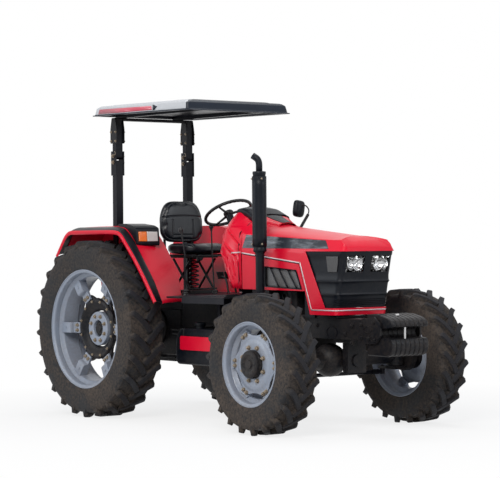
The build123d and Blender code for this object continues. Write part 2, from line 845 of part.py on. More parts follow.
def seat_cushion():
    """The moulded seat cushion."""
    body = block(seat_x, seat_x + 410, -seat_half, seat_half, seat_z, seat_z + 90)
    return fillet(body.edges().filter_by(Axis.Z), 50)


def seat_back():
    """The low moulded backrest."""
    z = seat_z + 90
    outline = [
        (-230, z), (230, z), (235, z + 150), (215, z + 310), (150, z + 380), (-150, z + 380),
        (-215, z + 310), (-235, z + 150)]
    return extrude(front_face(outline, seat_x - 70), 80)


def rops_posts():
    """The two lower posts with their feet, fold cheeks and fold pins."""
    hw, hd = post_dx / 2, post_dy / 2
    x, y, z = post_x, post_y, fold_z
    one = block(x - hw, x + hw, y - hd, y + hd, post_foot_z - 12, z - hw - 8)
    one += block(x - hw, -136 - seat_gap, y - 55, y + 55, post_foot_z, rear_tyre_r + 80)
    for side in (-1, 1):
        inner = y + side * (hd + 2)
        outer = y + side * (hd + 2 + cheek)
        low, high = min(inner, outer), max(inner, outer)
        one += block(x - hw - 8, x + hw + 8, low, high, z - 170, z + 42)
        packer_low, packer_high = sorted((y + side * (hd - 1), y + side * (hd + 3)))
        one += block(x - hw, x + hw, packer_low, packer_high, z - 168, z - 60)
    one += cyl_y(x, y - hd - cheek - 14, y + hd + cheek + 14, z, fold_pin_r)
    return both_sides(one)


def rops_upper_posts():
    """The two folding posts above the hinge, their feet rounded about the pin."""
    hw, hd = post_dx / 2, post_dy / 2
    top = canopy_z - bar_h - 12 - seat_gap
    one = block(post_x - hw, post_x + hw, post_y - hd, post_y + hd, fold_z, top)
    one += cyl_y(post_x, post_y - hd, post_y + hd, fold_z, hw)
    return both_sides(one - cyl_y(post_x, post_y - hd - 1, post_y + hd + 1, fold_z, fold_pin_r + shaft_gap))


def rops_crossbar():
    """The bar across the top of the folding posts."""
    hw, hd = post_dx / 2, post_dy / 2
    top = canopy_z - 12
    return block(post_x - hw, post_x + hw, -post_y - hd, post_y + hd, top - bar_h, top)


def canopy_rails():
    """The two rails that carry the canopy on the crossbar."""
    rail = block(canopy_x0 + 47, canopy_x1 - 76, 290, 330, canopy_z - 12 + seat_gap, canopy_z + canopy_recess)
    return both_sides(rail)


def canopy_tray(grow, z0, z1, slope):
    """A rounded rectangle carried from z0 to z1, drawn in by slope at its top."""
    dx, dy = canopy_x1 - canopy_x0 + 2 * grow, 2 * canopy_half + 2 * grow
    middle = Pos((canopy_x0 + canopy_x1) / 2, 0)
    low = Plane.XY.offset(z0) * middle * RectangleRounded(dx, dy, 70)
    high = Plane.XY.offset(z1) * middle * RectangleRounded(dx - 2 * slope, dy - 2 * slope, 60)
    return loft([low, high], ruled=True)


def canopy():
    """The double-skinned sun canopy with a turned-out edge and a recessed lining."""
    z = canopy_z
    shell = canopy_tray(0, z, z + 8, 2) + canopy_tray(-8, z + 8, z + 72, 10)
    shell += canopy_tray(-18, z + 72, z + canopy_h, 60)
    return shell - canopy_tray(-32, z - 1, z + canopy_recess + seat_gap, 6)


def exhaust_stack():
    """Manifold elbow, silencer and turned tail pipe on the right of the hood."""
    x, y = stack_x, stack_y
    top = stack_top
    stack = bent_tube([(x, -engine_half - seat_gap, 1030), (x, y, 1030), (x, y, 1400)], 35, 60)
    stack += cyl_z(x, y, 1395, top - 145, muffler_r)
    return stack + bent_tube([(x, y, top - 155), (x, y, top - 55), (x - 60, y, top)], 27, 45)


def mirror_unit():
    """The left-hand mirror on its bent arm."""
    x = cowl_front_x - 86
    arm = block(x - 30, x + 30, 290, 335, 1445, 1500) + rod((x, 300, 1470), (x, 460, 1560), 9)
    arm += Pos(x, 460, 1560) * Sphere(11)
    arm += rod((x, 460, 1556), (x - 10, 470, 1700), 9)
    arm -= cowl_form(0)
    head = side_prism([(x - 25, 1690), (x, 1690), (x + 14, 1760), (x, 1830), (x - 25, 1830)], 400, 540, 8)
    return arm + head


def control_levers():
    """The tall hand levers beside the seat, on their foot plates."""
    levers = []
    for x, y, lean in ((760, -300, 20), (605, 300, 5)):
        one = block(x - 25, x + 25, y - 20, y + 20, deck_z, deck_z + 12)
        one += rod((x, y, deck_z + 6), (x - lean, y, deck_z + 520), 8)
        levers.append(one + Pos(x - lean, y, deck_z + 525) * Sphere(18))
    return Compound([s for lever in levers for s in lever.solids()])


# Rear hitch and drive

def lift_arms():
    """The rockshaft with its two lift arms and the pins at their ends."""
    x, z = rock_x, rock_z
    arms = cyl_y(x, -arm_y - 12, arm_y + 12, z, rock_r)
    for s in (-1, 1):
        y0, y1 = sorted((s * (arm_y - 12), s * (arm_y + 12)))
        arms += cyl_y(x, y0, y1, z, rock_r + 20)
        arms += side_prism([(x, z - 44), (x, z + 44), (x - arm_len, z + 24), (x - arm_len, z - 24)], y0, y1)
        arms += cyl_y(x - arm_len, y0, y1, z, 24)
        arms += cyl_y(x - arm_len, s * (arm_y - 12), s * (arm_y - 56), z, lift_pin_r)
    return arms


def lift_rods():
    """The two lift rods from the arms down to the draught links."""
    top, foot = (rock_x - arm_len, rod_y, rock_z), (link_rod_x, rod_y, link_pivot_z)
    one = rod((top[0], rod_y, top[2] - 18), (foot[0], rod_y, foot[2] + 26), 12)
    one += rod((top[0] + 3, rod_y, top[2] - 140), (foot[0] - 3, rod_y, foot[2] + 140), 17)
    for (x, y, z), bore in ((top, lift_pin_r + shaft_gap), (foot, lift_pin_r + 9)):
        one += cyl_y(x, y - 12, y + 12, z, bore + 11)
        one -= cyl_y(x, y - 13, y + 13, z, bore)
    return both_sides(one)


def lower_links():
    """The pair of lower draught links, with eyes, lift pins and ball ends."""
    z, x0, x1, x2 = link_pivot_z, link_pivot_x, link_rod_x, link_end_x
    y0, y1 = link_y - 24, link_y + 14
    one = side_prism([
        (x0, z - 26), (x0, z + 26), (x1, z + 34), (x2, z + 24), (x2, z - 24), (x1, z - 34)], y0, y0 + 16)
    one += cyl_y(x0, y0, y1, z, 30)
    one += cyl_y(x2, y0 - 8, y0 + 26, z, 32)
    one += cyl_y(x1, y0 + 10, rod_y + 14, z, lift_pin_r)
    one -= cyl_y(x0, y0 - 1, y1 + 1, z, link_pin_r + shaft_gap)
    one -= cyl_y(x2, y0 - 9, y0 + 27, z, ball_bore_r)
    return both_sides(one)


def drawbar():
    """The swinging drawbar under the transmission, bored for its pin."""
    x, z = -640, link_pivot_z - 30
    bar = block(x, 100, -32, 32, z, z + 35) + block(-60, 60, -120, 120, z + 35, gearbox_low - seat_gap)
    return bar + cyl_z(x, 0, z, z + 35, 32) - cyl_z(x, 0, z - 1, z + 36, 13)


def pto_shaft():
    """The output shaft: its stub, and the journal that turns in the housing."""
    x = gearbox_rear_x
    return cyl_x(x - pto_reach, x - 1, 0, pto_z, pto_r) + cyl_x(x - 2, x + 69, 0, pto_z, pto_journal_r)


def pto_guard():
    """The bent master shield over the output shaft."""
    x0, x1 = gearbox_rear_x - 115, gearbox_rear_x - seat_gap
    z = pto_z + 95
    shield = block(x0, x1, -125, 125, z, z + sheet)
    for y0 in (-125, 125 - sheet):
        shield += block(x0, x1, y0, y0 + sheet, pto_z, z)
    return shield


os.makedirs("parts", exist_ok=True)

wheels = (
    ("rear", rear_wheel(), 0, rear_track / 2, rear_tyre_r),
    ("front", front_wheel(), wheelbase, front_track / 2, front_tyre_r),
)
for end, pieces, x, y, z in wheels:
    for piece, shape in zip(("tyre", "rim", "disc"), pieces):
        placed = Pos(x, y, z) * shape
        export(f"{end}_{piece}_left", placed)
        export(f"{end}_{piece}_right", other_side(placed))

left_knuckle = knuckle()
export("knuckle_left", left_knuckle)
export("knuckle_right", other_side(left_knuckle))

singles = (
    engine, lift_housing, link_brackets, front_support, front_axle, tie_rod, radiator,
    weight_carrier, front_weights, hood_shell, hood_hinge, front_grille, headlights, side_panels,
    vent_screens, cowl, firewall, dash_cover, steering_column, steering_wheel, fenders,
    fender_flares, fender_lamps, footboards, deck_beams, fuel_tank, tank_guard,
    seat_base, seat_cushion, seat_back, rops_posts, rops_upper_posts, rops_crossbar,
    canopy_rails, canopy, exhaust_stack, control_levers, lift_arms, lift_rods, lower_links,
    drawbar, pto_shaft, pto_guard,
)
for build in singles:
    export(build.__name__, build())
export("transmission_case", transmission())
export("rear_axle_housings", axle_housings())
export("mirror", mirror_unit())
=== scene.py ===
import json
from math import cos, pi, radians, sin

import bmesh
import bpy
import numpy as np
from mathutils import Matrix, Vector

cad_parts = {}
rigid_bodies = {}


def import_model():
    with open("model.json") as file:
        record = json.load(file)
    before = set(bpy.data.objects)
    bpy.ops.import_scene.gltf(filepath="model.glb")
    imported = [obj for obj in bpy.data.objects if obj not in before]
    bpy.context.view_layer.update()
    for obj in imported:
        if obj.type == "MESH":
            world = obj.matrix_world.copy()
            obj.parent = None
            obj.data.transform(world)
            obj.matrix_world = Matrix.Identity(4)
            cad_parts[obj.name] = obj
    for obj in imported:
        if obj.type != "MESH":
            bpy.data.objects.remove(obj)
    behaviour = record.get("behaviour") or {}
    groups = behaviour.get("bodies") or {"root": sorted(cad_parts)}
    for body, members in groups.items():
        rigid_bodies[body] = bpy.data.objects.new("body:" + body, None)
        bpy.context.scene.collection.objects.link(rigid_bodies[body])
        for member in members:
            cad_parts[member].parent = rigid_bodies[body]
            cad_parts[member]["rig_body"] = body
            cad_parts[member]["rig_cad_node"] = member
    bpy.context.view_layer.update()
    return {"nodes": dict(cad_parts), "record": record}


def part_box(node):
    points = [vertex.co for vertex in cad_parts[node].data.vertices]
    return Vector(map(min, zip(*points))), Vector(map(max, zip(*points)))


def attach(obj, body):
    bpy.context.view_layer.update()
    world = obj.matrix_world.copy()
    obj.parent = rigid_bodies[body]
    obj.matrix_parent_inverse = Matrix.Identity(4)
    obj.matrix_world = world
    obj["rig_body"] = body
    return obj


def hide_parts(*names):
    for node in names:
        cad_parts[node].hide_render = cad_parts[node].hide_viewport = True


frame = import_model()
nodes = frame["nodes"]


# Camera: a long lens low beside the front right wheel, looking back across the machine. Its place, turn and
# lens were solved from the wheels' circles and the hood's edges.
camera_at = Vector((12.988, -10.166, 1.487))
camera_yaw, camera_pitch, camera_roll = radians(141.79), radians(0.058), radians(-0.481)
camera_lens = 141.8
forward = Vector((cos(camera_yaw) * cos(camera_pitch), sin(camera_yaw) * cos(camera_pitch),
                  sin(camera_pitch)))
across = forward.cross(Vector((0, 0, 1))).normalized()
above = across.cross(forward)
side = across * cos(camera_roll) + above * sin(camera_roll)
top = above * cos(camera_roll) - across * sin(camera_roll)
camera = bpy.data.objects.new("camera", bpy.data.cameras.new("camera"))
camera.data.lens, camera.data.sensor_width = camera_lens, 36.0
camera.data.clip_end = 200.0
camera.matrix_world = Matrix.Translation(camera_at) @ Matrix((side, top, -forward)).transposed().to_4x4()
bpy.context.scene.collection.objects.link(camera)
bpy.context.scene.camera = camera


# Studio: a pale floor that whitens with distance, a white surround that only the camera, mirrors and glass
# see, and four soft lamps at a level at which each colour renders about as it is written.
bpy.context.scene.view_settings.view_transform = "Standard"
floor_half, floor_grey, pure_white = 60.0, (0.78, 0.78, 0.79, 1), (1, 1, 1, 1)
sky_light, sky_strength = (0.8, 0.88, 1.0, 1.0), 0.2
whitens_from, white_by, least_white = 2.2, 4.5, 0.8


def feed(tree, value, socket):
    """Wires a socket into another, or sets it to a plain value."""
    if isinstance(value, bpy.types.NodeSocket):
        tree.links.new(value, socket)
    else:
        socket.default_value = value


def add(tree, kind, *given, **values):
    """A shader node with its properties and sockets set by name, and then its first sockets in their
    order."""
    made = tree.nodes.new(kind)
    for name, value in values.items():
        if hasattr(made, name):
            setattr(made, name, value)
        else:
            feed(tree, value, made.inputs[name.replace("_", " ")])
    for socket, value in zip(made.inputs, given):
        feed(tree, value, socket)
    return made


def maths(tree, operation, *given, **values):
    """The result of one sum on sockets or numbers."""
    return add(tree, "ShaderNodeMath", *given, operation=operation, **values).outputs[0]


def ranged(tree, value, low, high, to_low=0.0, to_high=1.0):
    """A value's straight run from low to high, laid out from to_low to to_high and held there beyond."""
    return add(tree, "ShaderNodeMapRange", value, low, high, to_low, to_high, clamp=True).outputs[0]


def seen_white(tree):
    """One for camera, mirror and glass rays, and nought for the light that falls on the machine."""
    path = add(tree, "ShaderNodeLightPath").outputs
    seen = maths(tree, "MAXIMUM", path["Is Camera Ray"], path["Is Glossy Ray"])
    return maths(tree, "MAXIMUM", seen, path["Is Transmission Ray"])


def mesh_object(name, points, faces):
    """A mesh from an array of points and a list of faces, as an object at the origin."""
    mesh = bpy.data.meshes.new(name)
    mesh.from_pydata(np.asarray(points, float).reshape(-1, 3).tolist(), [], faces)
    made = bpy.data.objects.new(name, mesh)
    bpy.context.scene.collection.objects.link(made)
    return made


world = bpy.data.worlds.new("studio")
bpy.context.scene.world = world
floor = mesh_object("floor", np.array([(-1, -1, 0), (1, -1, 0), (1, 1, 0), (-1, 1, 0)]) * floor_half,
                    [(0, 1, 2, 3)])
floor_look = bpy.data.materials.new("floor")
floor.data.materials.append(floor_look)
for owner in (world, floor_look):
    owner.use_nodes = True
    owner.node_tree.nodes.clear()
tree = world.node_tree
dim = add(tree, "ShaderNodeBackground", Color=sky_light, Strength=sky_strength).outputs[0]
lit = add(tree, "ShaderNodeBackground", Color=pure_white, Strength=1.0).outputs[0]
add(tree, "ShaderNodeOutputWorld", add(tree, "ShaderNodeMixShader", seen_white(tree), dim, lit).outputs[0])
tree = floor_look.node_tree
place = add(tree, "ShaderNodeTexCoord").outputs["Object"]
distance = add(tree, "ShaderNodeVectorMath", place, operation="LENGTH").outputs["Value"]
share = maths(tree, "MULTIPLY", seen_white(tree), ranged(tree, distance, whitens_from, white_by, least_white,
                                                         1.0))
dim = add(tree, "ShaderNodeBsdfDiffuse", Color=floor_grey).outputs[0]
lit = add(tree, "ShaderNodeEmission", Color=pure_white, Strength=1.0).outputs[0]
add(tree, "ShaderNodeOutputMaterial", add(tree, "ShaderNodeMixShader", share, dim, lit).outputs[0])


def soft_lamp(name, at, size, watts, colour):
    """A square area lamp that faces the middle of the machine."""
    lamp = bpy.data.lights.new(name, "AREA")
    lamp.size, lamp.energy, lamp.color = size, watts, colour
    made = bpy.data.objects.new(name, lamp)
    made.location = at
    made.rotation_euler = (Vector((0, 0, 1.0)) - Vector(at)).to_track_quat("-Z", "Y").to_euler()
    bpy.context.scene.collection.objects.link(made)


soft_lamp("key", (7.5, -9.0, 8.5), 6.0, 1350, (1.0, 0.97, 0.93))
soft_lamp("side_fill", (-6.0, -10.0, 4.0), 5.0, 340, (0.86, 0.93, 1.0))
soft_lamp("front_fill", (11.0, 5.0, 5.0), 5.0, 340, (0.9, 0.95, 1.0))
soft_lamp("top", (-1.0, 1.0, 9.0), 7.0, 420, (1.0, 1.0, 1.0))


# Tyres: heavy bias-ply farm tyres with deep slanting bars, moulded in black rubber. Dry brown soil lies on
# the side walls and between the bars, and less on the bars' worn tops.
def quads(rows, columns, close_rows=False, close_columns=False):
    """The faces of a grid of points, numbered row by row, as an array of four corners each."""
    i = np.arange(rows if close_rows else rows - 1)[:, None]
    j = np.arange(columns if close_columns else columns - 1)[None, :]
    k, m = (i + 1) % rows, (j + 1) % columns
    return np.stack([i * columns + j, k * columns + j, k * columns + m, i * columns + m], -1).reshape(-1, 4)


def capped(rows, columns):
    """The faces of a row of closed rings, with one flat face over each end."""
    ends = (range(columns), range(rows * columns - 1, (rows - 1) * columns - 1, -1))
    return [tuple(face) for face in (*quads(rows, columns, False, True), *ends)]


def shells_object(name, shells, weld=1e-5, smooth=32):
    """One mesh from (points, faces) shells: seams welded, faces turned outwards, sharp edges over an
    angle."""
    points, faces, base = [], [], 0
    for shell_points, shell_faces in shells:
        shell_points = np.asarray(shell_points, float).reshape(-1, 3)
        points.append(shell_points)
        faces += [tuple(int(c) + base for c in face) for face in shell_faces]
        base += len(shell_points)
    made = mesh_object(name, np.concatenate(points), faces)
    work = bmesh.new()
    work.from_mesh(made.data)
    bmesh.ops.remove_doubles(work, verts=work.verts, dist=weld)
    bmesh.ops.dissolve_degenerate(work, edges=work.edges, dist=weld / 2)
    bmesh.ops.recalc_face_normals(work, faces=work.faces)
    work.to_mesh(made.data)
    work.free()
    made.data.shade_smooth()
    made.data.set_sharp_from_angle(angle=radians(smooth))
    return made


def turned(profile, at=(0, 0, 0), axis=(0, 1, 0), count=96, start=0.0, close=True, lobes=None):
    """A profile of (radius, height) carried round an axis: each point is the foot of its height on the axis
    plus its radius along a spoke, for count spokes. lobes may give the radius by angle and profile radius."""
    profile = np.asarray(profile, float)
    axis = Vector(axis).normalized()
    first = axis.orthogonal().normalized() if abs(axis.y) < 0.9 else Vector((1, 0, 0))
    first = (first - axis * first.dot(axis)).normalized()
    second = axis.cross(first)
    angle = start + np.arange(count) * 2 * pi / count
    spokes = np.cos(angle)[:, None] * np.array(first) + np.sin(angle)[:, None] * np.array(second)
    radius = profile[None, :, 0] if lobes is None else lobes(angle[:, None], profile[None, :, 0])
    points = (np.array(at, float) + profile[None, :, 1, None] * np.array(axis)
              + radius[:, :, None] * spokes[:, None, :])
    return points, quads(count, len(profile), True, close)


def finish_piece(made, body, slot, *looks):
    """Gives a finished mesh its materials and its body. The slot is not used."""
    for look in looks:
        made.data.materials.append(look)
    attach(made, body)
    return made


def mirrored(made, name):
    """A copy of a left-hand mesh on the right: y changes sign and the faces turn over with it."""
    twin = made.copy()
    twin.data = made.data.copy()
    twin.name = twin.data.name = name
    twin.data.transform(Matrix.Scale(-1, 4, (0, 1, 0)))
    twin.data.flip_normals()
    bpy.context.scene.collection.objects.link(twin)
    return twin


def mixed(tree, kind, share, first, second):
    """Two colours or two numbers blended by a share."""
    low, high, out = {"RGBA": (6, 7, 2), "FLOAT": (2, 3, 0)}[kind]
    made = add(tree, "ShaderNodeMix", share, data_type=kind)
    feed(tree, first, made.inputs[low])
    feed(tree, second, made.inputs[high])
    return made.outputs[out]


def weathered_group():
    """Colour, roughness and bump of a used surface: blotches, fine grain, and soil that is thicker low
    down."""
    group = bpy.data.node_groups.new("weathered", "ShaderNodeTree")
    colour, number, vector = "NodeSocketColor", "NodeSocketFloat", "NodeSocketVector"
    for name, kind, value in (
            ("Colour", colour, (0.5, 0.5, 0.5, 1)), ("Soil Colour", colour, (0.2, 0.15, 0.1, 1)),
            ("Soil", number, 0.2), ("Soil Height", number, 1.2), ("Blotch", number, 0.1),
            ("Roughness", number, 0.4), ("Grain Scale", number, 400.0), ("Grain", number, 0.1),
            ("Dents", number, 0.0)):
        group.interface.new_socket(name, in_out="INPUT", socket_type=kind).default_value = value
    for name, kind in (("Colour", colour), ("Roughness", number), ("Normal", vector), ("Soil", number)):
        group.interface.new_socket(name, in_out="OUTPUT", socket_type=kind)
    given = add(group, "NodeGroupInput").outputs
    place = add(group, "ShaderNodeTexCoord").outputs["Object"]
    blotch = add(group, "ShaderNodeTexNoise", place, Scale=3.7, Detail=6.0, Roughness=0.6).outputs["Fac"]
    fleck = add(group, "ShaderNodeTexNoise", place, Scale=46.0, Detail=5.0, Roughness=0.65).outputs["Fac"]
    grain = add(group, "ShaderNodeTexNoise", place, Scale=given["Grain Scale"], Detail=3.0).outputs["Fac"]
    height = add(group, "ShaderNodeSeparateXYZ", place).outputs["Z"]
    low_down = ranged(group, height, 0.0, given["Soil Height"], 1.0, 0.35)
    patches = ranged(group, maths(group, "MULTIPLY", blotch, fleck), 0.16, 0.36)
    soil = maths(group, "MULTIPLY", maths(group, "MULTIPLY", patches, low_down), given["Soil"],
                 use_clamp=True)
    change = maths(group, "MULTIPLY_ADD", ranged(group, blotch, 0.3, 0.7, -0.5, 0.5), given["Blotch"], 1.0)
    shade = add(group, "ShaderNodeHueSaturation", Color=given["Colour"], Value=change).outputs[0]
    uneven = maths(group, "MULTIPLY", given["Roughness"], change)
    fine = add(group, "ShaderNodeBump", Distance=0.0006, Height=grain, Strength=given["Grain"]).outputs[0]
    dent = add(group, "ShaderNodeBump", Distance=0.004, Height=fleck, Strength=given["Dents"], Normal=fine)
    add(group, "NodeGroupOutput", mixed(group, "RGBA", soil, shade, given["Soil Colour"]),
        mixed(group, "FLOAT", soil, uneven, 0.95), dent.outputs[0], soil)
    return group


weathered = weathered_group()
soil_brown = (0.155, 0.118, 0.088, 1)


def finish(name, colour, roughness, metallic=0.0, coat=0.0, coat_roughness=0.05, specular=0.5, **wear):
    """A material of its own Principled shader, fed by the weathered group with this finish's own values."""
    made = bpy.data.materials.new(name)
    made.use_nodes = True
    made.diffuse_color = (*colour, 1)
    tree = made.node_tree
    group = add(tree, "ShaderNodeGroup", node_tree=weathered, Colour=(*colour, 1), Soil_Colour=soil_brown,
                Roughness=roughness, **{socket.title(): value for socket, value in wear.items()}).outputs
    for socket, value in (("Metallic", metallic), ("Coat Weight", coat), ("Coat Roughness", coat_roughness),
                          ("Specular IOR Level", specular), ("Base Color", group["Colour"]),
                          ("Roughness", group["Roughness"]), ("Normal", group["Normal"])):
        feed(tree, value, tree.nodes["Principled BSDF"].inputs[socket])
    return made


def tinted(look, share, colour):
    """Lays a second colour over a finish, by the share that a socket gives."""
    base = look.node_tree.nodes["Principled BSDF"].inputs["Base Color"]
    feed(look.node_tree, mixed(look.node_tree, "RGBA", share, base.links[0].from_socket, (*colour, 1)), base)


rubber = finish("tyre_rubber", (0.01, 0.011, 0.014), 0.78, soil=0.46, soil_height=2.6, blotch=0.7,
                grain_scale=240.0, grain=0.8, dents=0.35, specular=0.25)
bar_top = add(rubber.node_tree, "ShaderNodeAttribute", attribute_name="bar_top").outputs["Fac"]
tinted(rubber, maths(rubber.node_tree, "MULTIPLY", bar_top, 0.8), (0.008, 0.009, 0.013))


def middle_of(node):
    """The centre of a CAD node's box."""
    low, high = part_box(node)
    return (low + high) / 2


def tyre_profile(outer, half, bead, rim_half):
    """The carcass outside, from the left bead over the crown to the right one: two side walls that bulge as
    part of an ellipse, and a flatter crown between the shoulders."""
    t = np.linspace(0, 1, 15)
    foot = bead + 0.026
    shoulder = outer - 0.046
    wall_r = foot + (shoulder - foot) * t
    wall_y = rim_half - 0.006 + (half - rim_half + 0.006) * np.sin(pi * (0.08 + 0.56 * t)) ** 0.8
    wall_y -= 0.012 * np.clip((t - 0.78) / 0.22, 0, 1) ** 2
    s = np.linspace(1, -1, 21)[1:-1]
    crown_y = s * wall_y[-1]
    crown_r = shoulder + 0.01 * (1 - s ** 2)
    left = np.stack([wall_r, wall_y], 1)
    right = np.stack([wall_r[::-1], -wall_y[::-1]], 1)
    inside = np.array([[bead + 0.0007, -rim_half + 0.013], [bead + 0.0007, -rim_half + 0.05],
                       [shoulder - 0.05, -half + 0.06], [shoulder - 0.05, half - 0.06],
                       [bead + 0.0007, rim_half - 0.05], [bead + 0.0007, rim_half - 0.013]])
    return np.concatenate([left, np.stack([crown_r, crown_y], 1), right, inside]), shoulder, wall_y[-1]


def tread_bars(outer, half, shoulder, edge, count, thick):
    """Slanting bars, each a ridge carried along a curved line on the carcass: the line starts down the side
    wall, rounds the shoulder and leans forwards to just past the middle."""
    steps, wall_share, clear_of_box = 17, 0.22, 0.0012
    u = np.linspace(0, 1, steps)
    down = np.clip(1 - u / wall_share, 0, 1)
    along = np.clip((u - wall_share) / (1 - wall_share), 0, 1)
    y = edge * (1 - along) - 0.012 * along + (half - edge - 0.002) * np.sin(down * pi / 2) * 0.6
    base_r = shoulder + 0.01 * (1 - (y / edge) ** 2).clip(0, 1) - 0.085 * down ** 1.3 - 0.004
    lean = (0.03 * (1 - down) + 0.165 * along ** 1.35) / outer
    rise = np.interp(u, [0, 0.1, wall_share, 0.32, 0.97, 1], [0.003, 0.02, 0.04, 0.05, 0.05, 0.036])
    rise = np.minimum(rise, outer - 0.0008 - base_r)
    width = thick * np.interp(u, [0, 0.2, 0.5, 0.95, 1], [0.9, 1.0, 1.0, 1.08, 0.95])
    section = np.array([[-0.88, -0.1], [-0.7, 0.55], [-0.62, 0.93], [-0.54, 1.0], [0, 1.0], [0.54, 1.0],
                        [0.62, 0.93], [0.7, 0.55], [0.88, -0.1]])
    wide, high = section.T[:, None]
    slope = np.arctan2(np.gradient(lean * outer), -np.gradient(y))
    out_y = np.sin(down * pi / 2) * 0.75
    r = base_r[:, None] + high * (rise * np.sqrt(1 - out_y ** 2))[:, None]
    a = lean[:, None] + wide * (width * np.cos(slope))[:, None] / outer
    bar_y = y[:, None] + wide * (width * np.sin(slope))[:, None] + high * (rise * out_y)[:, None]
    bar_y = np.clip(bar_y, clear_of_box - half, half - clear_of_box)
    faces = [tuple(c + k * steps * len(section) for c in face)
             for k in range(count) for face in capped(steps, len(section))]
    shells = []
    for hand, phase in ((1, 0.0), (-1, pi / count)):
        angle = a[None] + (np.arange(count) * 2 * pi / count)[:, None, None] + phase
        shells.append((np.stack([r * np.cos(angle), np.broadcast_to(hand * bar_y, angle.shape),
                                 -r * np.sin(angle)], -1), faces))
    return shells


def coordinates(piece):
    """The piece's points as an array."""
    spots = np.zeros(len(piece.data.vertices) * 3)
    piece.data.vertices.foreach_get("co", spots)
    return spots.reshape(-1, 3)


def tyre(name, node, rim_node, bead, rim_half, bars, thick):
    """One tyre round a wheel's centre: the carcass turned about the axle, and two hands of bars. The
    attribute bar_top climbs from nought to one over the last 12 mm of the bars."""
    low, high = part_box(node)
    outer, half = (high.z - low.z) / 2 - 0.0006, (high.y - low.y) / 2
    profile, shoulder, edge = tyre_profile(outer, half, bead, rim_half)
    shells = [turned(profile, count=120), *tread_bars(outer, half, shoulder, edge, bars, thick)]
    made = shells_object(name, shells, weld=1e-6, smooth=38)
    reach = np.hypot(*coordinates(made).T[[0, 2]])
    worn = np.clip((reach - outer + 0.016) / 0.012, 0, 1).astype(np.float32)
    made.data.attributes.new("bar_top", "FLOAT", "POINT").data.foreach_set("value", worn)
    made.data.transform(Matrix.Translation(middle_of(rim_node)))
    return made


def both_wheels(left, end, right_name, slot, look, *replaced):
    """Puts a left-hand piece on its axle's left wheel and its mirror image on the right one."""
    for hand, made in (("left", left), ("right", mirrored(left, right_name))):
        finish_piece(made, f"wheel_{end}_{hand}", slot, look)
        if replaced:
            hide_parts(*[f"{node}_{hand}" for node in replaced])


rear_bead, rear_rim_half, front_bead, front_rim_half = 0.482, 0.157, 0.305, 0.13
for end, bead, rim_half, bars, thick in (("rear", rear_bead, rear_rim_half, 25, 0.036),
                                         ("front", front_bead, front_rim_half, 22, 0.032)):
    left = tyre(f"{end}_tyre_left_tread", f"{end}_tyre_left", f"{end}_rim_left", bead, rim_half, bars, thick)
    both_wheels(left, end, f"{end}_tyre_right_tread", "tyre_rubber", rubber, f"{end}_tyre")


# Rims: rolled from steel plate and painted grey, with pressed lugs welded in the well that take the bolts of
# the wheel centres.
def rounded(corners, radius, steps=4, close=True):
    """Corners turned into short quadratic curves: each is replaced by steps points from a place before it
    to a place after it, radius away along its two edges, or a third of the edge where that is less."""
    corners = np.asarray(corners, float)
    radius = np.broadcast_to(np.asarray(radius, float), len(corners))[:, None]
    before, after = np.roll(corners, 1, 0) - corners, np.roll(corners, -1, 0) - corners
    size_before = np.linalg.norm(before, axis=1, keepdims=True)
    size_after = np.linalg.norm(after, axis=1, keepdims=True)
    enter = corners + before / size_before * np.minimum(radius, size_before * 0.45)
    leave = corners + after / size_after * np.minimum(radius, size_after * 0.45)
    if not close:
        enter[0] = leave[0] = corners[0]
        enter[-1] = leave[-1] = corners[-1]
    t = np.linspace(0, 1, steps)[None, :, None]
    curve = (1 - t) ** 2 * enter[:, None] + 2 * t * (1 - t) * corners[:, None] + t ** 2 * leave[:, None]
    return curve.reshape(-1, corners.shape[1])


def prism(outline, low, high, frame_of):
    """A closed outline carried straight between two heights; frame_of turns (u, v, height) into x, y, z."""
    outline = np.asarray(outline, float)
    ring = [np.concatenate([outline, np.full((len(outline), 1), h)], 1) for h in (low, high)]
    return frame_of(np.concatenate(ring)), capped(2, len(outline))


def bolt(at, axis, across=0.022, tall=0.7, washer=True):
    """A hexagon head on its washer, with the chamfered end of its stud: three turned profiles on one axis."""
    r, shells = across / 2, []
    if washer:
        shells.append(turned([(0, 0), (r * 1.45, 0), (r * 1.5, r * 0.08), (r * 1.45, r * 0.2), (0, r * 0.2)],
                             at, axis, 18))
    head = [(0, r * 0.15), (r * 1.1, r * 0.15), (r * 1.15, r * 0.25), (r * 1.15, r * (tall + 0.3)),
            (r * 0.98, r * (tall + 0.45)), (0, r * (tall + 0.45))]
    shells.append(turned(head, at, axis, 6, start=0.3))
    stud = [(0, r * tall), (r * 0.55, r * tall), (r * 0.55, r * (tall + 0.95)), (r * 0.42, r * (tall + 1.1)),
            (0, r * (tall + 1.1))]
    shells.append(turned(stud, at, axis, 12))
    return shells


def spoke_frame(turn):
    """A frame for shapes on a wheel: (u, v, height) is (outwards, along the axle, round the wheel)."""
    def place(p):
        p = np.asarray(p, float)
        x = p[:, 0] * cos(turn) - p[:, 2] * sin(turn)
        z = p[:, 0] * sin(turn) + p[:, 2] * cos(turn)
        return np.stack([x, p[:, 1], z], 1)
    return place


def bevelled(made, width, segments=3, angle=30):
    """Rounds a mesh's sharp edges."""
    edge = made.modifiers.new("rounding", "BEVEL")
    edge.width, edge.segments, edge.limit_method = width, segments, "ANGLE"
    edge.angle_limit = radians(angle)
    edge.harden_normals = True
    return made


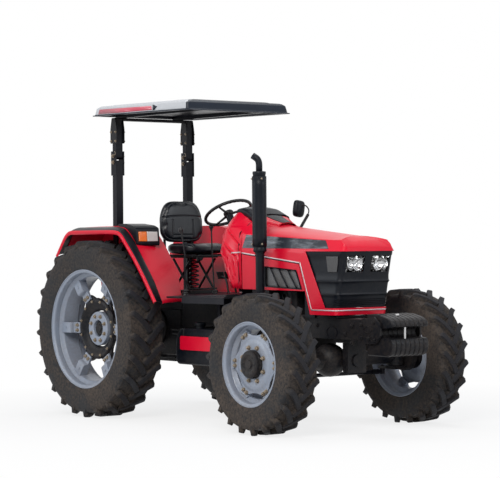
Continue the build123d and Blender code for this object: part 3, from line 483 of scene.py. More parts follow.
def rim_profile(bead, half):
    """The rolled section: hooked flange, bead seat with its hump, and a deep well between sloping sides."""
    top, well, wall = bead + 0.023, bead - 0.03, 0.008
    out = [(top, half + 0.003), (top + 0.0005, half - 0.003), (bead + 0.004, half - 0.01),
           (bead, half - 0.02), (bead, half - 0.052), (bead + 0.003, half - 0.058),
           (bead - 0.002, half - 0.064), (well, half - 0.085)]
    turned_in = [(r - wall, y + (0.002 if k < 3 else 0.0)) for k, (r, y) in enumerate(out)]
    turned_in[0] = (top - wall, half + 0.004)
    loop = out + [(r, -y) for r, y in reversed(out)] + [(r, -y) for r, y in turned_in]
    return rounded(loop + [(r, y) for r, y in reversed(turned_in)], 0.006, 4)


zinc = finish("zinc_bolts", (0.3, 0.25, 0.19), 0.42, metallic=0.75, soil=0.55, soil_height=3.0, blotch=0.5,
              grain_scale=900.0, grain=0.4)
silver = finish("wheel_silver", (0.225, 0.262, 0.33), 0.36, coat=0.2, coat_roughness=0.2, soil=0.38,
                soil_height=2.4, blotch=0.16, grain_scale=600.0, grain=0.15)
cast = finish("cast_black", (0.004, 0.005, 0.008), 0.4, specular=0.16, soil=0.22, soil_height=1.2,
              blotch=0.35, grain_scale=260.0, grain=0.7)
lug_count = 6
rear_lug_foot, rear_lug_y, rear_lug_half = 0.262, 0.01, 0.045
front_lug_foot, front_lug_y, front_lug_half = 0.233, 0.058, 0.042


def rear_rim():
    """The left rear rim about its own centre, with six boxed lugs and the feet that take the centre's
    bolts."""
    shells = [turned(rim_profile(rear_bead, rear_rim_half), count=144)]
    well = rear_bead - 0.034
    for k in range(lug_count):
        place = spoke_frame(pi + k * 2 * pi / lug_count)
        face = rear_lug_y
        box = [(well + 0.003, face), (well + 0.003, face + 0.074), (0.35, face + 0.066),
               (0.338, face + 0.052), (0.334, face + 0.024), (rear_lug_foot + 0.004, face + 0.018),
               (rear_lug_foot, face + 0.012), (rear_lug_foot, face)]
        shells.append(prism(rounded(box, 0.007, 4), -rear_lug_half, rear_lug_half, place))
        shells.append(turned([(0, 0), (0.012, 0), (0.012, 0.004), (0, 0.004)],
                             place([(0.4, face + 0.0715, 0)])[0], (0, 1, 0), 16))
    return shells


def front_rim():
    """The left front rim about its own centre, with six clamp lugs on the well."""
    shells = [turned(rim_profile(front_bead, front_rim_half), count=120)]
    well = front_bead - 0.034
    for k in range(lug_count):
        place = spoke_frame(pi + k * 2 * pi / lug_count)
        lug = [(well + 0.003, front_lug_y - 0.04), (well + 0.003, front_lug_y + 0.018),
               (0.262, front_lug_y + 0.012), (0.256, front_lug_y), (front_lug_foot, front_lug_y),
               (front_lug_foot, front_lug_y - 0.022)]
        shells.append(prism(rounded(lug, 0.005, 4), -front_lug_half, front_lug_half, place))
    return shells


for end, shells in (("rear", rear_rim()), ("front", front_rim())):
    left = shells_object(f"{end}_rim_left_rolled", shells, smooth=30)
    left.data.transform(Matrix.Translation(middle_of(f"{end}_rim_left")))
    both_wheels(bevelled(left, 0.003, 2, 50), end, f"{end}_rim_right_rolled", "wheel_silver", silver,
                f"{end}_rim")


# Rear wheel centres: black castings shaped like a bowl and scalloped at the edge, bolted to the rims' lugs,
# with a grey hub flange bolted inside them.
rear_bowl, rear_flange, rear_hub = 0.262, 0.144, 0.069
bowl = [(0.151, -0.044), (0.246, -0.013), (rear_bowl, 0.006), (rear_bowl - 0.002, 0.022), (0.244, 0.033),
        (0.228, 0.031), (0.212, 0.021), (0.192, 0.008), (0.168, -0.002), (0.153, -0.016)]


def scalloped(angle, radius):
    """The radius with twelve shallow scallops where it nears the edge."""
    share = np.clip((radius - 0.235) / 0.02, 0, 1)
    return radius - share * 0.009 * (0.5 - 0.5 * np.cos(12 * angle)) ** 2


def six_lobes(low, waist, reach, power):
    """A radius that swells from waist to reach at six places round the wheel, beyond the radius low."""
    def at(angle, radius):
        swell = (0.5 + 0.5 * np.cos(6 * angle)) ** power
        return np.where(radius > low, waist + (reach - waist) * swell + (radius - reach), radius)
    return at


plate = rounded([(0.2, -0.013), (0.32, -0.013), (0.32, 0.0095), (0.2, 0.0095)], 0.003, 3)
centre_shells = [turned(rounded(bowl, 0.012, 4), count=192, lobes=scalloped),
                 turned(plate, count=192, lobes=six_lobes(0.25, 0.255, 0.32, 1.6))]
hub = [(0.108, -0.074), (0.11, -0.06), (rear_flange, -0.058), (rear_flange, 0.01),
       (rear_flange - 0.004, 0.014), (rear_hub + 0.004, 0.014), (rear_hub, 0.008), (rear_hub - 0.002, -0.02)]
cap = [(0, -0.0215), (0.06, -0.0215), (0.06, -0.006), (0.054, 0.0), (0.034, 0.0), (0.03, 0.006), (0, 0.006)]


def bolt_ring(count, radius, y, across, tall=0.7, first=0.5, aside=(0.0,), washer=True):
    """Bolts spaced evenly round a wheel, first being the first one's place in steps: at each place, one bolt
    for every distance aside of the spoke."""
    shells = []
    for k in range(count):
        a = (k + first) * 2 * pi / count
        for d in aside:
            at = (radius * cos(a) - d * sin(a), y, radius * sin(a) + d * cos(a))
            shells += bolt(at, (0, 1, 0), across, tall, washer)
    return shells


def wheel_pieces(end, kind, shells, look, slot, *replaced):
    """The same piece for the left and the right wheel of one axle."""
    left = shells_object(f"{end}_{kind}_left", shells)
    left.data.transform(Matrix.Translation(middle_of(f"{end}_rim_left")))
    both_wheels(left, end, f"{end}_{kind}_right", slot, look, *replaced)


wheel_pieces("rear", "cast_centre", centre_shells, cast, "cast_black", "rear_disc")
wheel_pieces("rear", "hub_flange", [turned(rounded(hub, 0.003, 3), count=96)], silver, "wheel_silver")
wheel_pieces("rear", "hub_cap", [turned(cap, count=64)], cast, "cast_black")
wheel_pieces("rear", "wheel_nuts", [
    *bolt_ring(8, 0.108, 0.014, 0.024),
    *bolt_ring(lug_count, 0.292, rear_lug_y + 0.0175, 0.026, first=lug_count / 2, aside=(-0.022, 0.022)),
    *bolt_ring(12, 0.233, 0.032, 0.017, 0.5)], zinc, "bare_steel")


# Front wheel centres: dished and lobed steel discs in the rims' grey, bolted to their lugs, round black cast
# planetary hubs with a ring of small ribs.
front_dish = [(0.098, 0.028), (0.15, 0.064), (0.203, front_lug_y + 0.0005), (0.222, front_lug_y + 0.0005),
              (0.2225, front_lug_y + 0.01), (0.206, front_lug_y + 0.014), (0.19, front_lug_y + 0.022),
              (0.166, 0.084), (0.108, 0.084), (0.104, 0.028)]
front_plate = [(0.2, front_lug_y + 0.0005), (0.256, front_lug_y + 0.0005), (0.256, front_lug_y + 0.011),
               (0.2, front_lug_y + 0.011)]
dish_shells = [turned(rounded(front_dish, 0.006, 4), count=144),
               turned(rounded(front_plate, 0.002, 3), count=192, lobes=six_lobes(0.21, 0.219, 0.256, 1.1))]
planetary = [(0, 0.02), (0.106, 0.02), (0.1095, 0.088), (0.1095, 0.1), (0.106, 0.103), (0.106, 0.118),
             (0.104, 0.127), (0.094, 0.134), (0.08, 0.137), (0.06, 0.134), (0.052, 0.128), (0.036, 0.128),
             (0.032, 0.136), (0, 0.137)]
hub_shells = [turned(planetary, count=96), *bolt_ring(8, 0.072, 0.1345, 0.01, 0.2, first=0, washer=False)]
for k in range(16):
    rib = [(0.1, 0.09), (0.1095, 0.09), (0.1092, 0.116), (0.1, 0.122)]
    hub_shells.append(prism(rib, -0.003, 0.003, spoke_frame(k * 2 * pi / 16)))
wheel_pieces("front", "dished_disc", dish_shells, silver, "wheel_silver", "front_disc")
wheel_pieces("front", "planetary_hub", hub_shells, cast, "cast_black")
wheel_pieces("front", "wheel_nuts", [*bolt_ring(8, 0.135, 0.084, 0.026, 0.9),
                                     *bolt_ring(lug_count, 0.243, front_lug_y + 0.011, 0.024, 0.9,
                                                lug_count / 2, (-0.02, 0.02))], zinc, "bare_steel")


# Hood: one pressed steel skin from the cowl to the nose, painted red, hinged at the rear. Its flanks stand
# nearly upright to a crease, its top is crowned, and two legs run down beside the black mask to a band under
# it.
rear_axle_x = middle_of("rear_rim_left").x
hood_start, hood_length = 1.4, 1.168
nose_corner = 0.046
front_half = 0.222
crown_foot_x = 2.42
seam = np.array([(1.4, 1.385), (2.09, 1.307), (2.165, 1.402), (2.6, 1.402)])
leg_foot_x, leg_front_x, leg_low_z = 2.204, 2.4015, 0.9065
mask_top_x, mask_top_z, mask_foot_z = 2.165, 1.402, 0.962


def nose_x(z):
    """How far forward the nose reaches at a height: it leans out to the lip and rolls back above it."""
    return np.interp(z, [0.905, 1.38, 1.402, 1.45], [2.49, 2.596, 2.5985, 2.58])


def flank_y(x, z):
    """The flank's distance from the middle: it bellies out a little upwards and tapers in towards the
    nose."""
    t = (x - hood_start) / hood_length
    low, mid, high = 0.325 - 0.06 * t, 0.332 - 0.056 * t, 0.318 - 0.083 * t
    z_mid, z_high = 1.427 - 0.027 * t, 1.54 - 0.057 * t
    below = low + (mid - low) * np.clip((z - 0.845) / (z_mid - 0.845), 0, 1)
    return below + (high - mid) * np.clip((z - z_mid) / (z_high - z_mid), 0, 1)


def crease_z(x):
    """The height of the crease between flank and top along the side."""
    t = (x - hood_start) / hood_length
    ramp = np.clip((1.61 - x) / 0.21, 0, 1)
    return 1.54 - 0.057 * t + 0.008 * ramp


def crown_z(x):
    """The height of the hood's middle line, with the ramp up to the cowl."""
    t = (x - hood_start) / hood_length
    return 1.63 - 0.122 * t + 0.048 * np.clip((1.61 - x) / 0.21, 0, 1)


def belt(q, z, out=0.0):
    """A point of the hull at belt place q and height z. From q = 0 to 1 it runs along the flank, from 1
    to 2 round a quarter ellipse, and from 2 to 3 across the nose to the middle. out moves it away from
    the hull."""
    q, z = np.broadcast_arrays(np.asarray(q, float), np.asarray(z, float))
    tip = nose_x(z) + out
    turn_x = tip - nose_corner
    side_x = hood_start + (turn_x - hood_start) * np.clip(q, 0, 1)
    side_y = flank_y(side_x, z) + out
    edge_y = flank_y(turn_x, z) + out
    a = np.clip(q - 1, 0, 1) * pi / 2
    corner_x = turn_x + nose_corner * np.sin(a)
    corner_y = front_half + (edge_y - front_half) * np.cos(a)
    front_y = front_half * (3 - q)
    x = np.where(q < 1, side_x, np.where(q < 2, corner_x, tip + 0.006 * (1 - (front_y / front_half) ** 2)))
    y = np.where(q < 1, side_y, np.where(q < 2, corner_y, front_y))
    return np.stack([x + rear_axle_x, y, z], -1)


def place_on_belt(x, z):
    """The belt place q of a point given by its x on the flank."""
    return (x - hood_start) / (nose_x(z) - nose_corner - hood_start)


def patch(corners, rows, columns, out=0.0):
    """A four-cornered stretch of the hull between (x, z) corners: bilinear in x and z. Corners go round:
    bottom rear, bottom front, top front, top rear. rows is how many rows, or their shares of the way
    up."""
    (x0, z0), (x1, z1), (x2, z2), (x3, z3) = corners
    v = np.linspace(0, 1, rows) if np.isscalar(rows) else np.asarray(rows)
    v, u = v[:, None], np.linspace(0, 1, columns)[None, :]
    x = (1 - v) * ((1 - u) * x0 + u * x1) + v * ((1 - u) * x3 + u * x2)
    z = (1 - v) * ((1 - u) * z0 + u * z1) + v * ((1 - u) * z3 + u * z2)
    return belt(place_on_belt(x, z), z, out), quads(len(v), columns)


def walled(made, thick, inwards=-1.0):
    """Gives a sheet its thickness."""
    wall = made.modifiers.new("wall", "SOLIDIFY")
    wall.thickness, wall.offset, wall.use_even_offset = thick, inwards, False
    return made


def both_halves(shells):
    """Adds each shell's image on the right side, faces turned over."""
    return shells + [(np.asarray(points) * (1, -1, 1), [tuple(face)[::-1] for face in faces])
                     for points, faces in shells]


def piece(name, shells, body, slot, *looks, weld=1e-5, smooth=40, wall=0, grows=-1.0, bevel=None,
          stands_for=None):
    """A whole piece: its shells joined, its wall thickened inwards or outwards and its edges rounded,
    with its body, its materials and the CAD node that it stands for hidden."""
    made = shells_object(name, shells, weld, smooth)
    if wall:
        walled(made, wall, grows)
    if bevel:
        bevelled(made, *bevel)
    finish_piece(made, body, slot, *looks)
    if stands_for:
        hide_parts(stands_for)
    return made


red = finish("red_paint", (0.64, 0.0015, 0.024), 0.3, coat=0.14, coat_roughness=0.12, specular=0.2, soil=0.06,
             soil_height=1.4, blotch=0.1, grain_scale=900.0, grain=0.05)
# Upper band of flank and nose, from the seam or the mask's lip up to the crease. Columns stand at set x
# places as far as the mask's corner region, then share what is left of the flank, the corner and the nose.
flank_x = np.concatenate([np.linspace(hood_start, 2.09, 18), [2.115, 2.14, 2.165],
                          np.linspace(2.165, 2.44, 9)[1:]])
round_q = np.concatenate([np.linspace(1, 2, 8), np.linspace(2, 3, 8)[1:]])
edge_z = np.concatenate([np.interp(flank_x, seam[:, 0], seam[:, 1]), np.full(len(round_q), mask_top_z)])
fall = np.clip(round_q - 1, 0, 1) ** 0.8
corner_crease = crease_z(2.44)
top_z = np.concatenate([crease_z(flank_x), corner_crease + (1.43 - corner_crease) * fall])
band_z = edge_z + (top_z - edge_z) * np.linspace(0, 1, 9)[:, None]


def hull_columns(z):
    """Belt places for the hood's columns at heights z, one column for each place along its edge."""
    flank_q = place_on_belt(flank_x, z[..., :len(flank_x)])
    return np.concatenate([flank_q, np.broadcast_to(round_q, (*z.shape[:-1], len(round_q)))], -1)


upper = (belt(hull_columns(band_z), band_z), quads(9, len(top_z)))
# Crowned top, from the crease to the middle line, with a second crease a third of the way up.
s = np.array([0, 0.06, 0.16, 0.28, 0.335, 0.365, 0.4, 0.52, 0.66, 0.8, 0.91, 1.0])
rise = np.array([0, 0.13, 0.31, 0.49, 0.565, 0.6, 0.635, 0.755, 0.865, 0.945, 0.985, 1.0])[:, None]
foot = belt(hull_columns(top_z), top_z)
crown_x = np.minimum(foot[:, 0] - rear_axle_x, crown_foot_x)
over_x = foot[None, :, 0] + (crown_x + rear_axle_x - foot[:, 0])[None, :] * s[:, None]
over_y = foot[None, :, 1] * (1 - s[:, None])
over_z = foot[None, :, 2] + (crown_z(crown_x) - foot[:, 2])[None, :] * rise
crown = (np.stack([over_x, over_y, over_z], -1), quads(len(s), len(top_z)))
# Legs and the band under the mask share the line of the mask's rear edge.
foot_share = np.linspace(0, (mask_foot_z - leg_low_z) / (mask_top_z - leg_low_z), 4)
leg_corners = [(leg_foot_x, leg_low_z), (leg_front_x, leg_low_z), (mask_top_x, mask_top_z), (2.09, 1.307)]
leg = patch(leg_corners, np.concatenate([foot_share, np.linspace(foot_share[-1], 1, 12)[1:]]), 4)
foot_z = (leg_low_z + (mask_top_z - leg_low_z) * foot_share)[:, None]
foot_x = (leg_front_x + (mask_top_x - leg_front_x) * foot_share)[:, None]
share = np.linspace(0, 1, 4)[:-1]
foot_q = place_on_belt(foot_x, foot_z)
foot_q = np.concatenate([foot_q + (1 - foot_q) * share, np.broadcast_to(round_q, (4, len(round_q)))], 1)
under = (belt(foot_q, foot_z), quads(4, foot_q.shape[1]))
piece("hood_skin", both_halves([upper, crown, leg, under]), "hood", "red_paint", red, weld=4e-4, smooth=24,
      wall=0.005, bevel=(0.0015, 2, 40), stands_for="hood_shell")


# Hood strips: a dark band let in along each flank under the crease, with pale streaks painted on it as a
# reflection, and a pale line along the seam and down the leg that is a painted highlight of the crease edge,
# both laid over the paint.
reflection_painted = finish("reflection_painted_band", (0.012, 0.016, 0.024), 0.34, coat=0.15, specular=0.3, soil=0.0, blotch=0.3,
                  grain_scale=700.0, grain=0.1)


def paint_reflection_streaks(look, colour, scale, strength):
    """Painted reflection: pale streaks along the machine, noise stretched far along X, sharpened, over the
    base colour."""
    tree = look.node_tree
    place = add(tree, "ShaderNodeMapping", add(tree, "ShaderNodeTexCoord").outputs["Object"], Scale=scale)
    noise = add(tree, "ShaderNodeTexNoise", place.outputs[0], Scale=5.0, Detail=7.0, Roughness=0.7)
    tinted(look, ranged(tree, noise.outputs["Fac"], 0.48, 0.72, 0.0, strength), colour)


# Pale streaks along the dark band: a painted reflection of the surroundings, not a brushed finish.
paint_reflection_streaks(reflection_painted, (0.26, 0.29, 0.33), (0.8, 1.0, 5.0), 0.8)
band_low = [(1.412, 1.43), (2.425, 1.421), (2.365, crease_z(2.365) - 0.006), (1.448, crease_z(1.448) - 0.006)]
piece("hood_side_band", both_halves([patch(band_low, 7, 40, 0.0005)]), "hood", "plastic_black", reflection_painted,
      wall=0.0022, grows=1.0, bevel=(0.001, 2, 40))
# The pale line is a painted highlight: a pale strip along the crease edge of the seam, the leg and the nose's
# foot.
painted_highlight = finish("painted_highlight_line", (0.62, 0.5, 0.52), 0.35, coat=0.4, soil=0.1, blotch=0.15)
line_shells = [
    patch([(1.406, 1.3855), (2.094, 1.3075), (2.096, 1.3185), (1.406, 1.3965)], 3, 30, 0.0005),
    patch([(2.22, 0.94), (2.23, 0.94), (2.106, 1.3185), (2.096, 1.3075)], 20, 3, 0.0005)]
line_q = np.concatenate([[place_on_belt(2.222, 0.945)], round_q])
line_z = np.linspace(0.939, 0.949, 3)[:, None]
line_shells.append((belt(np.broadcast_to(line_q, (3, len(line_q))), line_z, 0.0005), quads(3, len(line_q))))
piece("hood_painted_highlight_line", both_halves(line_shells), "hood", "red_paint", painted_highlight, wall=0.0018, grows=1.0)


# Mask: the black moulded grille that wraps the nose between the legs, ribbed across, with windows for the
# lamps and slots at its foot.
plastic = finish("plastic_black", (0.003, 0.005, 0.009), 0.36, specular=0.14, soil=0.12, soil_height=1.0,
                 blotch=0.2, grain_scale=1200.0, grain=0.3)
window_low, window_high, window_in, window_out = 1.24, 1.364, 0.036, 0.215
mask_y = np.array([window_out, 0.16, 0.105, window_in, 0.0])
mask_q_front = np.concatenate([np.linspace(1, 2, 7), 3 - mask_y / front_half])
mask_rows = np.unique(np.concatenate([np.linspace(mask_foot_z + 0.001, 1.04, 4),
                                      [1.052, 1.058, 1.066, 1.074, 1.08], [1.14, 1.152, 1.158, 1.168, 1.176],
                                      [1.182, 1.215, window_low, 1.288, 1.32, window_high, 1.375, 1.4005]]))
ridge = (0.008 * np.exp(-((mask_rows - 1.168) / 0.008) ** 2) + 0.008
         * np.exp(-((mask_rows - 1.066) / 0.008) ** 2) - 0.004 * ((mask_rows > 1.2) & (mask_rows < 1.37))
         - 0.01)
mask_x = np.interp(mask_rows, foot_z[-1:, 0].tolist() + [mask_top_z], [foot_x[-1, 0], mask_top_x]) + 0.002
share = np.linspace(0, 1, 10)[:-1]
mask_q = place_on_belt(mask_x, mask_rows)[:, None]
mask_q = np.concatenate([mask_q + (1 - mask_q) * share, np.broadcast_to(mask_q_front, (len(mask_rows), 12))],
                        1)
mask_points = belt(mask_q, np.broadcast_to(mask_rows[:, None], mask_q.shape), ridge[:, None])
mask_faces = quads(*mask_q.shape).reshape(len(mask_rows) - 1, -1, 4)
open_rows = (mask_rows[:-1] >= window_low - 1e-6) & (mask_rows[:-1] < window_high - 1e-6)
columns = np.arange(mask_q.shape[1] - 1)
open_columns = (columns >= 16) & (columns < 19)
kept = ~(open_rows[:, None] & open_columns[None, :])
piece("grille_mask", both_halves([(mask_points, mask_faces[kept])]), "hood", "plastic_black", plastic,
      weld=2e-4, smooth=34, wall=0.004, bevel=(0.001, 2, 40), stands_for="front_grille")
slot_shells = []
for z in (0.986, 1.0, 1.014, 1.028):
    rows = np.array([z - 0.0028, z, z + 0.0028])[:, None]
    across_q = np.concatenate([np.linspace(1.25, 2, 7), np.linspace(2, 3, 7)[1:]])
    bump = np.array([-0.009, -0.004, -0.009])[:, None]
    slot_shells.append((belt(np.broadcast_to(across_q, (3, 13)), rows, bump), quads(3, 13)))
piece("grille_slots", both_halves(slot_shells), "hood", "plastic_black", plastic, smooth=20, wall=0.003)


# Headlamps: two chrome reflectors behind one clear cover each side, in grey housings parted by the mask's
# middle pillar.
chrome = finish("lamp_chrome", (0.85, 0.86, 0.88), 0.1, metallic=1.0, soil=0.05, blotch=0.2)
lamp_inner = finish("lamp_inner", (0.3, 0.3, 0.31), 0.22, metallic=1.0, soil=0.05, blotch=0.3)
lamp_glass = bpy.data.materials.new("lamp_glass")
lamp_glass.use_nodes = True
tree = lamp_glass.node_tree
grime = add(tree, "ShaderNodeTexNoise", add(tree, "ShaderNodeTexCoord").outputs["Object"], Scale=60.0,
            Detail=4.0)
for socket, value in (("Transmission Weight", 1.0), ("IOR", 1.45),
                      ("Roughness", ranged(tree, grime.outputs["Fac"], 0.0, 1.0, 0.02, 0.16))):
    feed(tree, value, tree.nodes["Principled BSDF"].inputs[socket])
lamp_z, lamp_y, lamp_r = (window_low + window_high) / 2, 0.106, 0.046
lamp_x = rear_axle_x + nose_x(lamp_z)


def reflector(y, radius, deep):
    """A dish facing forwards: its depth falls with the square of the radius, with sixteen flutes."""
    r = radius * np.linspace(0.12, 1, 9)
    dish = [(radius_, -deep * (1 - (radius_ / radius) ** 2) - 0.012) for radius_ in r]
    back = [(radius + 0.003, -0.012), (radius + 0.003, -deep - 0.02), (radius * 0.12, -deep - 0.016)]
    return turned(dish + back, (lamp_x, y, lamp_z), (1, 0, 0), 48)


for hand, y in (("left", 1), ("right", -1)):
    piece(f"headlamp_reflector_{hand}", [reflector(y * lamp_y, lamp_r, 0.034),
                                         reflector(y * 0.18, 0.027, 0.02),
                                         turned([(0, -0.036), (0.009, -0.036), (0.009, -0.018),
                                                 (0.006, -0.014), (0, -0.014)], (lamp_x, y * lamp_y, lamp_z),
                                                (1, 0, 0), 20)], "hood", "lamp_lens", chrome, smooth=25)
    u, v = np.meshgrid(np.linspace(0, 1, 13), np.linspace(0, 1, 9))
    depth = lamp_x - 0.03 - 0.03 * np.sin(pi * u) * np.sin(pi * v)
    back = np.stack([depth, y * (0.044 + 0.17 * u), window_low - 0.006 + 0.108 * v], -1)
    piece(f"headlamp_housing_{hand}", [(back, quads(9, 13))], "hood", "lamp_lens", lamp_inner, smooth=30,
          wall=0.003)
cover_q = 3 - np.array([window_out - 0.001, 0.185, 0.16, 0.135, 0.11, 0.085, window_in + 0.001]) / front_half
cover_rows = np.linspace(window_low + 0.001, window_high - 0.001, 5)[:, None]
cover = belt(np.broadcast_to(cover_q, (5, 7)), cover_rows, -0.016)
piece("headlamp_covers", both_halves([(cover, quads(5, 7))]), "hood", "lamp_lens", lamp_glass, wall=0.002,
      stands_for="headlights")


# Side lamps: smoked lenses let into the mask's flanks beside the headlamps, and clipped in from behind.
smoked = finish("smoked_lens", (0.02, 0.021, 0.024), 0.12, coat=0.6, specular=0.4, soil=0.05, blotch=0.3)
side_lamp = patch([(2.42, 1.242), (2.538, 1.242), (2.538, 1.362), (2.404, 1.362)], 6, 6, -0.009)
piece("side_lamps", both_halves([side_lamp]), "hood", "lamp_lens", smoked, wall=0.005, grows=1.0,
      bevel=(0.002, 3, 40))


# Side panels: two fixed red sheets under the hood's seam, bolted to the frame, each with a slanted vent,
# punched mesh behind it and three black bars across it.
vent = [(1.676, 1.118), (2.122, 1.101), (2.058, 1.256), (1.676, 1.285)]
panel_low, panel_high, panel_out = 1.098, 1.0905, -0.002
panel_shells = [
    patch([(1.404, panel_low), vent[0], vent[3], (1.404, 1.379)], 8, 10, panel_out),
    patch([vent[3], vent[2], (2.085, 1.3015), (1.404, 1.379)], 8, 20, panel_out),
    patch([vent[1], (2.146, panel_high), (2.085, 1.3015), vent[2]], 8, 6, panel_out),
    patch([(1.404, panel_low), (2.146, panel_high), vent[1], vent[0]], 4, 20, panel_out)]
piece("side_panel_skins", both_halves(panel_shells), "chassis", "red_paint", red, weld=2e-4, smooth=30,
      wall=0.004, bevel=(0.0015, 2, 40), stands_for="side_panels")
mesh_look = finish("vent_mesh", (0.21, 0.215, 0.225), 0.5, soil=0.4, soil_height=3.0, blotch=0.3,
                   specular=0.3)


def punched(look, pitch, colour):
    """A punched sheet: holes drawn near-black where the product of two sines over x and z is high, painted
    shade for the dark inside seen through them.
    """
    tree = look.node_tree
    spot = add(tree, "ShaderNodeSeparateXYZ", add(tree, "ShaderNodeTexCoord").outputs["Object"]).outputs
    waves = [maths(tree, "SINE", maths(tree, "MULTIPLY", spot[axis], pi / pitch)) for axis in "XZ"]
    tinted(look, ranged(tree, maths(tree, "ABSOLUTE", maths(tree, "MULTIPLY", *waves)), 0.35, 0.5), colour)


# The holes' near-black is painted shade standing in for the view through them.
punched(mesh_look, 0.007, (0.015, 0.015, 0.016))
piece("vent_mesh_plates", both_halves([patch(vent, 8, 16, -0.016)]), "chassis", "plastic_black", mesh_look,
      wall=0.0015, stands_for="vent_screens")
rim_points = rounded(vent, 0.016, 5)
centre = rim_points.mean(0)
edge_shells = []
for shrink, deep in ((1 - 0.01 / 0.12, 0.001), (1.0, -0.0165)):
    inset = (rim_points - centre) * shrink + centre
    edge_shells.append((np.stack([belt(place_on_belt(*ring.T), ring[:, 1], out)
                                  for ring, out in ((rim_points, 0.001), (inset, deep))]),
                        quads(2, len(rim_points), False, True)))
for k in range(3):
    top_x, foot_x = 1.742 + 0.104 * k, 1.85 + 0.104 * k
    low, high = 1.113 - 0.0035 * k, 1.279 - 0.009 * k
    bar = [(foot_x - 0.009, low), (foot_x + 0.009, low), (top_x + 0.009, high), (top_x - 0.009, high)]
    edge_shells.append(patch(bar, 6, 2, -0.003))
piece("vent_frames", both_halves(edge_shells), "chassis", "plastic_black", plastic, smooth=30, wall=0.003)


# Cowl: the red moulded console round the steering column, open underneath and bolted to the frame, with lines
# pressed down its cheeks. It rises over the hood's rear edge.
cowl_rows = np.array([1.0, 1.086, 1.256, 1.386])
cowl_widths = np.array([(0.17, 0.2, 0.18, 0.12, 0.07), (0.285, 0.305, 0.262, 0.17, 0.11),
                        (0.322, 0.331, 0.3, 0.19, 0.125), (0.328, 0.332, 0.318, 0.2, 0.122)])
cowl_heights = np.array([(1.14, 1.4, 1.54, 1.6, 1.62), (1.112, 1.41, 1.58, 1.69, 1.728),
                         (1.102, 1.42, 1.575, 1.69, 1.732), (1.096, 1.425, 1.548, 1.622, 1.672)])


def cowl_half(x):
    """Half of the cowl's cross-section at x, foot to crown: its five corners are cubics of x, then
    rounded."""
    y = np.array([np.polyval(np.polyfit(cowl_rows, column, 3), x) for column in cowl_widths.T])
    z = np.array([np.polyval(np.polyfit(cowl_rows, column, 3), x) for column in cowl_heights.T])
    corners = np.stack([y, z], 1)
    crown = np.array([(0.0, z[-1] + 0.004)])
    return rounded(np.concatenate([corners, crown]), 0.055, 7, close=False)


stations = np.linspace(cowl_rows[0], cowl_rows[-1] + 0.009, 64)
halves = np.stack([cowl_half(x) for x in stations])
halves = halves[:, 6:-6]
walk = np.linspace(0, halves.shape[1] - 1, 150)
halves = np.stack([[np.interp(walk, np.arange(halves.shape[1]), line[:, k]) for k in (0, 1)]
                   for line in halves])
across_y, up_z = halves[:, 0], halves[:, 1]
along_x = stations[:, None]
pressed = 0.0
for line_z, line_slope in ((1.66, 0.66), (1.535, 0.68), (1.405, 0.7), (1.275, 0.7)):
    over = up_z - line_z + line_slope * (along_x - 1.05)
    pressed = pressed + 0.008 * np.exp(-((over - 0.018) / 0.01) ** 2) - 0.013 * np.exp(-(over / 0.008) ** 2)
pressed = pressed * np.clip((1.595 - up_z) / 0.03, 0, 1) * np.clip((along_x - 1.02) / 0.06, 0, 1)
pressed = pressed * np.clip((1.388 - along_x) / 0.05, 0, 1)
foot_lean = 0.17 * np.clip((1.42 - up_z) / 0.32, 0, 1) ** 1.2 * np.clip((1.386 - along_x) / 0.386, 0, 1)
sunk = -0.007 * np.clip((up_z - 1.6) / 0.012, 0, 1) * np.clip((along_x - 1.07) / 0.03, 0, 1)
cowl_points = np.stack([along_x + foot_lean + rear_axle_x, across_y + pressed + sunk, up_z], -1)
end = cowl_points[:1] * (1, 0.955, 1) + np.array([-0.01, 0, -0.012])
tail = cowl_points[:1] * (1, 0.0, 1) + np.array([-0.014, 0, -0.012])
cowl_grid = np.concatenate([tail, end, cowl_points])
piece("cowl_skin", both_halves([(cowl_grid, quads(66, 150))]), "chassis", "red_paint", red, weld=3e-4,
      smooth=34, wall=0.005, stands_for="cowl")


# Binnacle: the black moulded hood over the gauges, clipped on the cowl's crown. The hood rises to meet it,
# under a rubber-edged trim.
def cap_grid(x0, x1, top, half, thick, columns=22):
    """A crowned cap: at each x its half-section runs from the skirt over a rounded shoulder to the
    middle. top and half are curves of x given as (x, value) points."""
    x = np.linspace(x0, x1, columns)
    z = np.interp(x, *np.array(top).T)
    w = np.interp(x, *np.array(half).T)
    profile = rounded([(1.0, -1.0), (1.0, -0.25), (0.8, 0.0), (0.0, 0.12)], 0.25, 5, close=False)
    y = profile[None, :, 0] * w[:, None]
    up = z[:, None] + profile[None, :, 1] * thick
    return np.stack([np.broadcast_to(x[:, None] + rear_axle_x, y.shape), y, up], -1), profile.shape[0]


cap_top = [(1.064, 1.735), (1.1, 1.758), (1.19, 1.766), (1.27, 1.752), (1.384, 1.7)]
cap_half = [(1.064, 0.105), (1.11, 0.15), (1.25, 0.178), (1.384, 0.19)]
cap_points, cap_count = cap_grid(1.064, 1.384, cap_top, cap_half, 0.06)
skirt = cap_points[:1] * (1, 0, 1) + (0, 0, -0.02)
piece("binnacle_cap",
      both_halves([(np.concatenate([skirt, cap_points]), quads(len(cap_points) + 1, cap_count))]), "chassis",
      "plastic_black", plastic, weld=3e-4, smooth=32, wall=0.004, stands_for="dash_cover")
trim_top = [(1.404, 1.6925), (1.5, 1.659), (1.59, 1.632)]
rise_top = [(x, z - 0.006) for x, z in trim_top]
rise_half = [(1.404, 0.176), (1.596, 0.092)]
rise_points, rise_count = cap_grid(1.404, 1.596, rise_top, rise_half, 0.075, 12)
piece("hood_rear_rise", both_halves([(rise_points, quads(12, rise_count))]), "hood", "red_paint", red,
      weld=3e-4, smooth=32, wall=0.003)
trim_x = np.linspace(1.404, 1.592, 12)[:, None]
trim_share = np.linspace(0.5, 0, 6)[None]
